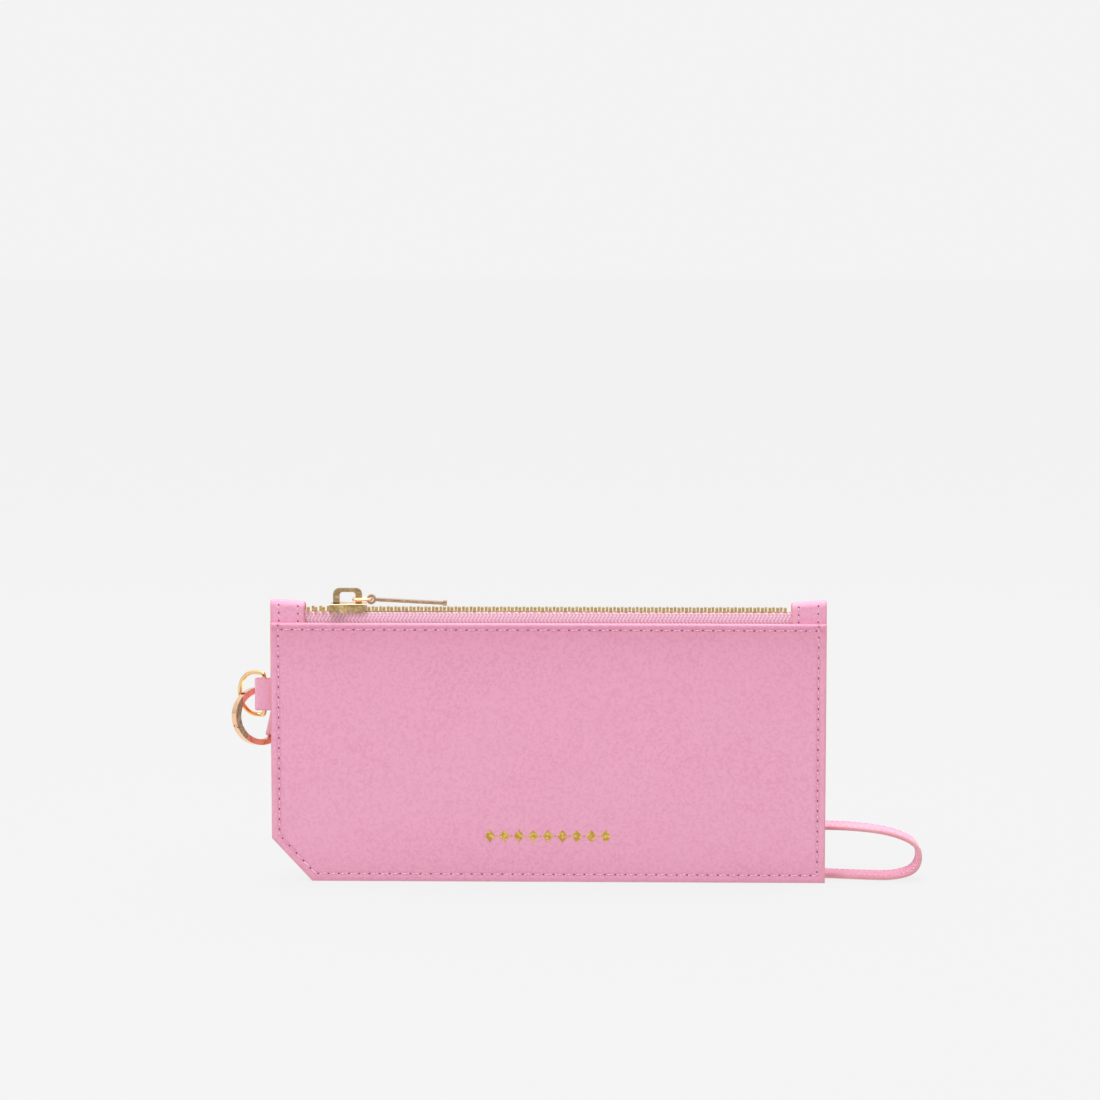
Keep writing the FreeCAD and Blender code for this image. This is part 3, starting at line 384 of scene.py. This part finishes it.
def panel_rise(x, z, top, stitched_top):
    """How proud a panel's face stands, with the seam grooves, the soft puff and the tab's bulge."""
    side, under = from_sides(x, z), top - z
    rise = -rounding(side, EDGE_ROUND)
    rise += 0.10 * math.exp(-((side - 1.4) / 0.7) ** 2)
    if stitched_top:
        rise -= rounding(under, 0.6) + (groove(under - TOP_SEAM) if side > SEAM - 0.3 else 0.0)
        rise += 0.10 * math.exp(-((under - 1.1) / 0.6) ** 2) * min(1.0, side)
    if side < 6:
        rise -= groove(side - SEAM) * min(1.0, max(0.0, under))
    tab_mid = (RING_TAB_LOW + RING_TAB_HIGH) / 2
    rise += 0.30 * math.exp(-((z - tab_mid) / 5.5) ** 2 - ((x - LEFT - 2.0) / 5.0) ** 2)
    rise -= 0.16 * math.exp(-((z - tab_mid + 11) / 5.0) ** 2 - ((x - LEFT - 9.0) / 8.0) ** 2)
    slack = min(1.0, max(0.0, (side - 4) / 14))
    past_x = max(0.0, abs(x) - FLAT_HALF_WIDE) / FLAT_FADE_X
    past_z = max(0.0, abs(z - FLAT_MID) - FLAT_HALF_TALL) / FLAT_FADE_Z
    slack *= 1 - math.exp(-past_x ** 2 - past_z ** 2)
    rise += slack * (0.10 * math.sin(x / 21.0 + 0.6) * math.sin(z / 17.0 + 0.3)
                     + 0.05 * math.sin(x / 9.0 - z / 13.0))
    return rise


def graded(length, fine, close, wide):
    """Distances from 0 to a length, close together near both ends."""
    ends = np.arange(0.0, fine, close)
    middle = np.linspace(fine, length - fine, max(2, int((length - 2 * fine) / wide) + 1))
    return np.concatenate([ends, middle, length - ends[::-1]])


def leather_panel(node, side_way, stitched_top=True, sewn_sides=True):
    """A panel of leather. side_way is -1 where its good face looks forward and 1 where back."""
    (_, y_low, _), (_, y_high, top) = node_box(node)
    face_y, inner_y = (y_low, y_high) if side_way < 0 else (y_high, y_low)
    heights = graded(top, 6.0, 0.25, 1.5)
    inward = graded(RIGHT - LEFT, 6.0, 0.25, 1.5)
    fine, rows, columns = 6.0, len(heights), len(inward)
    outer, inner, shade = [], [], []
    for z in heights:
        start = left_at(z)
        for d in inward:
            if d <= fine:
                x = start + d
            elif d >= inward[-1] - fine:
                x = RIGHT - (inward[-1] - d)
            else:
                x = start + fine + (d - fine) * (RIGHT - start - 2 * fine) / (inward[-1] - 2 * fine)
            rise = panel_rise(x, z, top, stitched_top)
            outer.append((x, face_y + side_way * rise, z))
            inner.append((x, inner_y, z))
            side, under = from_sides(x, z), top - z
            # Painted shade, stored as seam_shade: darker along the stitch grooves, in a band under the
            # turned top and towards the bottom.
            tone = 0.45 * math.exp(-((side - SEAM) / 0.7) ** 2)
            if stitched_top:
                tone = max(tone, 0.55 * math.exp(-((under - TOP_SEAM) / 0.9) ** 2))
                if 0.7 < under:
                    tone = max(tone, 0.34 * math.exp(-max(0.0, under - 2.0) / 11.0))
            tone = max(tone, 0.26 * math.exp(-max(0.0, z - 2.0) / 7.0))
            shade.append(tone)
    sewn = Sewn()

    def grid(i, j):
        return i * columns + j

    faces, finish = [], []
    flip = side_way > 0
    for i in range(rows - 1):
        for j in range(columns - 1):
            quad = (grid(i, j), grid(i, j + 1), grid(i + 1, j + 1), grid(i + 1, j))
            faces.append(quad[::-1] if flip else quad)
            middle = np.mean([outer[k] for k in quad], axis=0)
            finish.append(ON_EDGE if from_sides(middle[0], middle[2]) < 0.62 else ON_LEATHER)
    sewn.add(outer, faces, finish, shade)
    back = [f[::-1] for f in faces]
    sewn.add(inner, back, ON_LEATHER, shade)
    around = ([grid(0, j) for j in range(columns)] + [grid(i, columns - 1) for i in range(1, rows)]
              + [grid(rows - 1, j) for j in range(columns - 2, -1, -1)]
              + [grid(i, 0) for i in range(rows - 2, 0, -1)])
    wall_points = [outer[k] for k in around] + [inner[k] for k in around]
    count = len(around)
    walls = [(k, (k + 1) % count, count + (k + 1) % count, count + k) for k in range(count)]
    top_wall = [k for k in range(count) if outer[around[k]][2] > top - 0.01
                and outer[around[(k + 1) % count]][2] > top - 0.01]
    wall_finish = [ON_LEATHER if k in set(top_wall) else ON_EDGE for k in range(count)]
    sewn.add(wall_points, [w if flip else w[::-1] for w in walls], wall_finish)

    def on_face(x, z):
        return (x, face_y + side_way * panel_rise(x, z, top, stitched_top), z)

    def seam(corners):
        line = []
        for (x0, z0), (x1, z1) in zip(corners, corners[1:]):
            steps = max(2, int(math.hypot(x1 - x0, z1 - z0) / 0.8))
            line += [on_face(x0 + (x1 - x0) * t, z0 + (z1 - z0) * t)
                     for t in np.linspace(0, 1, steps)[:-1]]
        line.append(on_face(*corners[-1]))
        stitches(sewn, line, [(0, side_way, 0)] * len(line))

    if sewn_sides:
        lean = math.atan2(CUT_UP, CUT_ACROSS)
        low_turn = LEFT + CUT_ACROSS + SEAM * math.tan(lean / 2)
        high_turn = CUT_UP + SEAM * math.tan((math.pi / 2 - lean) / 2)
        seam([(LEFT + SEAM, top - 0.9), (LEFT + SEAM, high_turn), (low_turn, SEAM),
              (RIGHT - SEAM, SEAM), (RIGHT - SEAM, top - 0.9)])
    if stitched_top:
        seam([(LEFT + SEAM + 1.2, top - TOP_SEAM), (RIGHT - SEAM - 0.8, top - TOP_SEAM)])
    return sewn


def settle(piece, body, slot, *nodes):
    """The piece rides on a body and stands for CAD nodes, which are hidden; slot is not used."""
    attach(piece, body)
    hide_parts(*nodes)
    return piece


settle(leather_panel("slip_pocket_panel", -1).piece("slip_pocket_leather"),
       "wallet", "pink_leather", "slip_pocket_panel")
settle(leather_panel("front_panel", -1, False, False).piece("front_leather"),
       "wallet", "pink_leather", "front_panel")
settle(leather_panel("back_panel", 1).piece("back_leather"),
       "wallet", "pink_leather", "back_panel")

# ------------------------------------------------------------------ leather strips


def strip_rings(line, sides, width, thick, seam_in=None, crown=0.0):
    """Cross sections of a strip of leather with rolled edges, and how far each point is inside."""
    round_r = thick / 2
    inside = [0.0, 0.05, 0.14, 0.28, 0.45, round_r]
    if seam_in:
        inside += [seam_in + k for k in (-0.45, -0.25, 0.0, 0.25, 0.45) if seam_in + k > round_r + 0.05]
        inside.append(seam_in + 0.9)
    inside = sorted(v for v in set(inside) if v < width / 2 - 0.3)
    across = [-width / 2 + v for v in inside] + list(np.linspace(
        -width / 2 + inside[-1], width / 2 - inside[-1], 5)[1:-1]) + [
            width / 2 - v for v in reversed(inside)]

    def half_height(a):
        v = width / 2 - abs(a)
        h = thick / 2 - rounding(v, round_r) + crown * (1 - (2 * a / width) ** 2)
        if seam_in:
            h -= groove(v - seam_in, 0.09, 0.4)
        return max(h, 0.0)

    section = [(a, half_height(a)) for a in across] + [(a, -half_height(a)) for a in across[-2:0:-1]]
    line, sides = np.array(line, float), np.array(sides, float)
    ahead = np.gradient(line, axis=0)
    rings = []
    for here, way, side in zip(line, ahead, sides):
        way = way / np.linalg.norm(way)
        side = side - way * side.dot(way)
        side = side / np.linalg.norm(side)
        up = np.cross(way, side)
        rings.append([here + side * a + up * b for a, b in section])
    return rings, section


def sew_strip(sewn, line, sides, width, thick, seam_in=None, crown=0.0, both_faces=True,
              pitch=STITCH, caps=True, paint_in=0.4):
    """A strip of leather along a line, with a row of stitches near each edge if seam_in is given."""
    rings, section = strip_rings(line, sides, width, thick, seam_in, crown)
    n = len(section)
    points = [p for ring in rings for p in ring]
    faces, finish = [], []
    for r in range(len(rings) - 1):
        for k in range(n):
            j = (k + 1) % n
            faces.append((r * n + k, r * n + j, (r + 1) * n + j, (r + 1) * n + k))
            a = (section[k][0] + section[j][0]) / 2
            finish.append(ON_EDGE if width / 2 - abs(a) < paint_in else ON_LEATHER)
    if caps:
        faces += [tuple(range(n))[::-1], tuple((len(rings) - 1) * n + k for k in range(n))]
        finish += [ON_EDGE, ON_EDGE]
    sewn.add(points, faces, finish)
    if not seam_in:
        return
    flat = np.array(rings)
    top_count = n // 2 + 1
    offsets = [s[0] for s in section]
    for face in ((1,) if not both_faces else (1, -1)):
        rows = range(top_count) if face > 0 else range(top_count - 1, n)
        for edge in (-1, 1):
            target = edge * (width / 2 - seam_in)
            row = min(rows, key=lambda k: abs(offsets[k] - target))
            path = flat[:, row]
            middle = np.array(line, float)
            lift = path - middle
            ahead = np.gradient(middle, axis=0)
            side = np.array(sides, float)
            up = np.cross(ahead, side)
            up = up / np.linalg.norm(up, axis=1)[:, None]
            outward = up * np.sign((lift * up).sum(axis=1))[:, None]
            stitches(sewn, path, outward, pitch)


# Zip end tabs: leather folded over each end of the zip, its top sinking towards the teeth.
TAB_LEATHER = 1.2
TAB_SINK = 0.8
for name, node, inner_side in (("zip_end_tab_left", "zip_tab_left", 1),
                               ("zip_end_tab_right", "zip_tab_right", -1)):
    (x0, y0, z0), (x1, y1, z1) = node_box(node)
    half, bend = y1 - TAB_LEATHER / 2, 1.5
    peak = z1 - TAB_LEATHER / 2
    fold = [(-half, z0 + 0.3 + v) for v in np.linspace(0, peak - bend - z0 - 0.3, 12)]
    fold += [(-half + bend - bend * math.cos(a), peak - bend + bend * math.sin(a))
             for a in np.linspace(0, math.pi / 2, 9)[1:]]
    fold += [(y, peak) for y in np.linspace(-half + bend, half - bend, 7)[1:-1]]
    fold += [(half - bend + bend * math.sin(a), peak - bend + bend * math.cos(a))
             for a in np.linspace(0, math.pi / 2, 9)]
    fold += [(half, z) for z in np.linspace(peak - bend, z0 + 2.3, 12)[1:]]
    middle_x = (x0 + x1) / 2
    tab = Sewn()
    sew_strip(tab, [(middle_x, y, z) for y, z in fold], [(1, 0, 0)] * len(fold), x1 - x0, TAB_LEATHER)
    outer_x = x0 if inner_side > 0 else x1
    for seam_x, low in ((outer_x + inner_side * 2.7, z0), (outer_x + inner_side * (x1 - x0 - 2.1), z0)):
        for face_y, way in ((y0, -1), (y1, 1)):
            line = [(seam_x, face_y, z) for z in np.linspace(POCKET_TOP + 0.6, z1 - 1.4, 8)]
            stitches(tab, line, [(0, way, 0)] * len(line), 2.9)
    for i, (x, y, z) in enumerate(tab.points):
        along = min(1.0, max(0.0, abs(x - outer_x) / (x1 - x0)))
        tab.points[i] = (x, y, z - TAB_SINK * along ** 1.5 * max(0.0, (z - z0) / (z1 - z0)))
    settle(tab.piece(name), "wallet", "pink_leather", node)

# D-ring tab: a narrow strip, skived thin, folded round the ring's bar and sewn into the side.
(x0, y0, z0), (x1, y1, z1) = node_box("d_ring_tab")
TAB_SKIN = 0.6
half = y1 - TAB_SKIN / 2
fold = [(x, -half) for x in np.linspace(x1, x0 + half + TAB_SKIN / 2, 10)]
fold += [(x0 + half + TAB_SKIN / 2 - half * math.sin(a), -half * math.cos(a))
         for a in np.linspace(0, math.pi, 15)[1:-1]]
fold += [(x, half) for x in np.linspace(x0 + half + TAB_SKIN / 2, x1, 10)]
ring_tab = Sewn()
sew_strip(ring_tab, [(x, y, (z0 + z1) / 2) for x, y in fold], [(0, 0, 1)] * len(fold),
          z1 - z0, TAB_SKIN, paint_in=0.3)
settle(ring_tab.piece("d_ring_strip"), "wallet", "pink_leather", "d_ring_tab")

# ------------------------------------------------------------------ zip tapes

YARN, RIB = 1.15, 1.7       # herringbone rib along the zip, and the height of one zigzag


def weave(x, z):
    """Height of the herringbone ribs, 0 in the crossings and 1 on the crowns."""
    zigzag = abs((z / RIB) % 2 - 1)
    rib = 0.5 + 0.5 * math.cos(2 * math.pi * (x / YARN + 0.9 * zigzag))
    strand = 0.5 + 0.5 * math.cos(2 * math.pi * (z / RIB * 2 + 0.25))
    return (0.72 * rib + 0.28 * strand) ** 1.2


for name, node, way in (("woven_tape_front", "zip_tape_front", -1), ("woven_tape_rear", "zip_tape_rear", 1)):
    (x0, y0, z0), (x1, y1, z1) = node_box(node)
    face, bead = (y0, y1) if way < 0 else (y1, y0)
    turn_r = 0.35
    profile = [(face, z) for z in np.linspace(z0, z1 - turn_r, 34)]
    profile += [(face - way * (turn_r - turn_r * math.cos(a)), z1 - turn_r + turn_r * math.sin(a))
                for a in np.linspace(0, math.pi / 2, 5)[1:]]
    profile += [(y, z1) for y in np.linspace(face - way * turn_r, bead, 4)[1:]]
    profile += [(bead, z1 - 0.42), (face - way * 0.42, z1 - 0.42), (face - way * 0.42, z0)]
    xs = np.arange(x0, x1, 0.2)
    tape = Sewn()
    points, crown = [], []
    for x in xs:
        for k, (y, z) in enumerate(profile):
            h = weave(x, z) if k < len(profile) - 3 else 0.2
            out = 0.16 * h if k < len(profile) - 6 else 0.05 * h
            points.append((x, y + way * (out - 0.08), z))
            crown.append(h)
    n = len(profile)
    faces = [(i * n + k, i * n + (k + 1) % n, (i + 1) * n + (k + 1) % n, (i + 1) * n + k)
             for i in range(len(xs) - 1) for k in range(n)]
    tape.add(points, faces if way > 0 else [f[::-1] for f in faces], 0, crown)
    settle(tape.piece(name, "yarn_crown", (TAPE,)), "wallet", "zip_tape", node)

# ------------------------------------------------------------------ wrist strap and its tab

# Gate ring: the strap tab grips its band at the back, and the strap starts out along pull_way.
GRIP = np.array([-84.6954, 8.8639, 48.2476])
GRIP_AXIS = np.array([0.18791, 0.2938, 0.93721])
PULL_WAY = np.array([0.9748, 0.0612, -0.2147])
FACE_WAY = np.cross(GRIP_AXIS, PULL_WAY)
STRAP_WIDE, STRAP_THICK, ROLL_LENGTH = 10.0, 1.4, 100.0
STRAP_ROUTE = [
    (-0.07553, 0.01016, 0.046), (-0.0638, 0.011, 0.0432), (-0.0464, 0.0123, 0.0368),
    (-0.024, 0.0128, 0.026), (-0.002, 0.0123, 0.014), (0.02, 0.011, 0.005), (0.042, 0.0099, 0.0011),
    (0.064, 0.0094, 0.00074), (0.084, 0.0091, 0.0008), (0.099, 0.0064, 0.00074),
    (0.1085, 0.0048, 0.0009), (0.1154, 0.0038, 0.0036), (0.1159, 0.0037, 0.0109),
    (0.1086, 0.0048, 0.0146), (0.098, 0.0063, 0.0161), (0.084, 0.009, 0.0161), (0.062, 0.0095, 0.0152),
    (0.04, 0.0101, 0.0155), (0.018, 0.011, 0.019), (-0.004, 0.0116, 0.0253), (-0.026, 0.0113, 0.0328),
    (-0.0474, 0.0105, 0.0396), (-0.0638, 0.0095, 0.04385), (-0.07534, 0.00873, 0.04641),
]


def strap_line():
    """The strap's centreline, in millimetres, read from a smooth curve through its route."""
    curve = bpy.data.curves.new("strap_route", "CURVE")
    curve.dimensions = "3D"
    curve.resolution_u = 24
    spline = curve.splines.new("NURBS")
    spline.points.add(len(STRAP_ROUTE) - 1)
    for point, place in zip(spline.points, STRAP_ROUTE):
        point.co = (*place, 1.0)
    spline.order_u = 3
    spline.use_endpoint_u = True
    holder = bpy.data.objects.new("strap_route", curve)
    bpy.context.scene.collection.objects.link(holder)
    bpy.context.view_layer.update()
    mesh = bpy.data.meshes.new_from_object(holder.evaluated_get(bpy.context.evaluated_depsgraph_get()))
    line = np.array([v.co for v in mesh.vertices]) / MM
    bpy.data.objects.remove(holder)
    bpy.data.meshes.remove(mesh)
    return line


def evenly(line, step):
    reach = np.concatenate([[0], np.cumsum(np.linalg.norm(np.diff(line, axis=0), axis=1))])
    at = np.linspace(0, reach[-1], int(reach[-1] / step) + 1)
    return np.stack([np.interp(at, reach, line[:, k]) for k in range(3)], axis=1), at


route, reach_along = evenly(strap_line(), 0.9)
STRAP_LENGTH = float(reach_along[-1])
rolled = np.clip(np.minimum(reach_along, STRAP_LENGTH - reach_along) / ROLL_LENGTH, 0, 1)
rolled = (rolled * rolled * (3 - 2 * rolled))[:, None]
strap_side = GRIP_AXIS * (1 - rolled) + np.array([0.0, 1.0, 0.0]) * rolled

# The strap follows three joints one after another, so it is made in stretches that meet end to end:
# the long free loop, then two short ones up to the tab.
FREE, LOOP_TURNED = (0.080, 0.0105, 0.008), (-0.015, 0.0119, 0.025)
NECK_TURNED, END_TURNED = (-0.048, 0.0113, 0.0395), (-0.062, 0.0102, 0.0443)
SPLITS = (LOOP_TURNED[0] / MM, NECK_TURNED[0] / MM)
STRETCHES = (("wrist_strap_loop", SPLITS[0], RIGHT * 2), ("wrist_strap_neck", SPLITS[1], SPLITS[0]),
             ("wrist_strap_end", LEFT * 2, SPLITS[1]))
strap_pieces = {}
for name, low, high in STRETCHES:
    chosen = (route[:, 0] >= low - 0.9) & (route[:, 0] <= high + 0.9)
    strap = Sewn()
    runs = np.split(np.arange(len(route)), np.where(np.diff(chosen.astype(int)) != 0)[0] + 1)
    for run in runs:
        if chosen[run[0]]:
            sew_strip(strap, route[run], strap_side[run], STRAP_WIDE, STRAP_THICK, 1.35,
                      pitch=3.6, paint_in=0.5, caps=name == "wrist_strap_end")
    strap_pieces[name] = strap.piece(name)
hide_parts("wrist_strap")
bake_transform(strap_pieces["wrist_strap_loop"])
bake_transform(strap_pieces["wrist_strap_neck"])
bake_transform(strap_pieces["wrist_strap_end"])

# Strap tab: a strip of the same leather, round the ring's band and closed on the strap's two ends.
BORE, SKIN, NIP, TAB_LONG, STRAP_ROOM = 2.65, 0.8, 8.0, 19.0, 0.35
nose_r = BORE + SKIN / 2
flat_half = STRAP_THICK + STRAP_ROOM + SKIN / 2
fold = [(v, -(nose_r + (flat_half - nose_r) * min(1.0, v / NIP) ** 0.9))
        for v in np.linspace(TAB_LONG, 0.0, 24)]
fold += [(-nose_r * math.sin(a), -nose_r * math.cos(a)) for a in np.linspace(0, math.pi, 21)[1:-1]]
fold += [(v, nose_r + (flat_half - nose_r) * min(1.0, v / NIP) ** 0.9)
         for v in np.linspace(0.0, TAB_LONG, 24)]
strap_tab = Sewn()
sew_strip(strap_tab, [GRIP + PULL_WAY * u + FACE_WAY * v for u, v in fold], [GRIP_AXIS] * len(fold),
          STRAP_WIDE, SKIN, paint_in=0.35)
for face in (-1, 1):
    for u in (TAB_LONG - 2.0, TAB_LONG - 9.0):
        line = [GRIP + PULL_WAY * u + FACE_WAY * face * (flat_half + SKIN / 2) + GRIP_AXIS * a
                for a in np.linspace(-3.6, 3.6, 8)]
        stitches(strap_tab, line, [FACE_WAY * face] * len(line), 2.4)
settle(strap_tab.piece("strap_tab_leather"), "strap_tab", "pink_leather", "strap_tab")

# ------------------------------------------------------------------ the CAD's own pieces


def finish_node(node, material, bevel=0.0):
    """A CAD node keeps its shape, gets its finish, and its sharp edges catch the light."""
    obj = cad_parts[node]
    if not obj.material_slots:
        obj.data.materials.append(material)
    for held in obj.material_slots:
        held.material = material
    if bevel:
        soft = obj.modifiers.new("soft_edges", "BEVEL")
        soft.width = bevel * MM
        soft.segments = 4
        soft.limit_method = "ANGLE"
        soft.angle_limit = math.radians(35)
        soft.harden_normals = False


for node, material, bevel in (
        ("seam_core", EDGE, 0.0), ("lining_bag", LINING, 0.0),
        ("zip_teeth_front", BRASS, 0.3), ("zip_teeth_rear", BRASS, 0.3),
        ("zip_top_stops", BRASS, 0.2), ("zip_bottom_stop", BRASS, 0.2),
        ("zip_slider", GOLD, 0.22), ("slider_bridge", GOLD, 0.5), ("pull_link", ROSE, 0.0),
        ("zip_pull", ROSE, 0.22), ("d_ring", GOLD, 0.0), ("gate_ring_body", ROSE, 0.16),
        ("ring_gate", ROSE, 0.16), ("gate_hinge_pin", STEEL, 0.0), ("gate_spring", STEEL, 0.0),
        ("foil_ornament", FOIL, 0.0)):
    finish_node(node, material, bevel)

# ------------------------------------------------------------------ stage, light and camera


FLOOR_GLOW = 0.83


def stage_floor():
    """Seamless pale floor: mostly its own even light, so that only a faint contact shadow shows.
    In polished metal its front part mirrors dark, as the open side of a studio does."""
    material = bpy.data.materials.new("studio_paper")
    material.use_nodes = True
    tree = material.node_tree
    shader = tree.nodes["Principled BSDF"]
    shader.inputs["Base Color"].default_value = (0.05, 0.05, 0.05, 1.0)
    shader.inputs["Roughness"].default_value = 1.0
    shader.inputs["Specular IOR Level"].default_value = 0.0
    shader.inputs["Emission Color"].default_value = (1.0, 1.0, 1.0, 1.0)
    front = add(tree, "SeparateXYZ", {"Vector": add(tree, "TexCoord").outputs["Object"]}).outputs["Y"]
    mirrored = add(tree, "LightPath").outputs["Is Glossy Ray"]
    glow = ranged(tree, mirrored, 0.0, 1.0, FLOOR_GLOW, ranged(tree, front, -0.8, -0.35, 0.25, FLOOR_GLOW))
    tree.links.new(glow, shader.inputs["Emission Strength"])
    mesh = bpy.data.meshes.new("floor")
    r, n = 30.0, 64
    rim = [(r * math.cos(2 * math.pi * k / n), r * math.sin(2 * math.pi * k / n), 0.0) for k in range(n)]
    mesh.from_pydata(rim, [], [tuple(range(n))])
    mesh.materials.append(material)
    floor = bpy.data.objects.new("floor", mesh)
    bpy.context.scene.collection.objects.link(floor)


def softbox(name, place, aim, size, power):
    data = bpy.data.lights.new(name, "AREA")
    data.shape = "DISK"
    data.size = size
    data.energy = power
    lamp = bpy.data.objects.new(name, data)
    lamp.location = place
    lamp.rotation_euler = (Vector(aim) - Vector(place)).to_track_quat("-Z", "Y").to_euler()
    bpy.context.scene.collection.objects.link(lamp)


def studio_sky():
    """White surroundings, brighter overhead, with a dark gap low in front as an open studio has."""
    world = bpy.data.worlds.new("studio")
    bpy.context.scene.world = world
    world.use_nodes = True
    tree = world.node_tree
    tree.nodes.clear()
    way = add(tree, "SeparateXYZ", {"Vector": add(tree, "TexCoord").outputs["Generated"]})
    overhead = ranged(tree, way.outputs["Z"], 0.0, 0.9, 0.62, 1.45)
    low = ranged(tree, add(tree, "Math", {0: way.outputs["Z"], 1: 0.22}, operation="SUBTRACT").outputs[0],
                 -0.20, -0.12)
    high = ranged(tree, way.outputs["Z"], 0.46, 0.56, 1.0, 0.0)
    front = ranged(tree, way.outputs["Y"], -0.5, -0.35, 1.0, 0.0)
    gap = add(tree, "Math", {0: low, 1: high}, operation="MULTIPLY")
    gap = add(tree, "Math", {0: gap.outputs[0], 1: front}, operation="MULTIPLY")
    mirrored = add(tree, "LightPath").outputs["Is Glossy Ray"]
    dim = ranged(tree, gap.outputs[0], 0.0, 1.0, 1.0, ranged(tree, mirrored, 0.0, 1.0, 0.25, 0.04))
    power = add(tree, "Math", {0: overhead, 1: dim}, operation="MULTIPLY")
    seen = add(tree, "LightPath").outputs["Is Camera Ray"]
    lit = add(tree, "Background", {"Strength": power.outputs[0], "Color": (1.0, 1.0, 1.0, 1.0)})
    plain = add(tree, "Background", {"Strength": 0.896, "Color": (1.0, 1.0, 1.0, 1.0)})
    both = add(tree, "MixShader", {0: seen, 1: lit.outputs[0], 2: plain.outputs[0]})
    add(tree, "OutputWorld", {"Surface": both.outputs[0]})


stage_floor()
studio_sky()
HALF_HEIGHT = 0.044     # metres, the middle of the wallet
LIT_AT = (0.0, 0.0, 0.04)
softbox("key_softbox", (-0.35, -0.55, 0.95), LIT_AT, 0.5, 3.0)
softbox("top_softbox", (0.1, 0.15, 1.0), LIT_AT, 0.6, 3.0)

AZIMUTH, ELEVATION = math.radians(1.34), math.radians(9.0)
DISTANCE, LENS, SENSOR = 0.952, 100.0, 36.0
HEADING, DIP = math.radians(1.306), math.radians(5.437)
camera_data = bpy.data.cameras.new("camera")
camera_data.lens = LENS
camera_data.sensor_width = SENSOR
camera = bpy.data.objects.new("camera", camera_data)
bpy.context.scene.collection.objects.link(camera)
camera.location = (DISTANCE * math.sin(AZIMUTH) * math.cos(ELEVATION),
                   -DISTANCE * math.cos(AZIMUTH) * math.cos(ELEVATION),
                   HALF_HEIGHT + DISTANCE * math.sin(ELEVATION))
camera.rotation_euler = (math.pi / 2 - DIP, 0.0, HEADING)
bpy.context.scene.camera = camera
bpy.context.scene.view_settings.view_transform = "Standard"
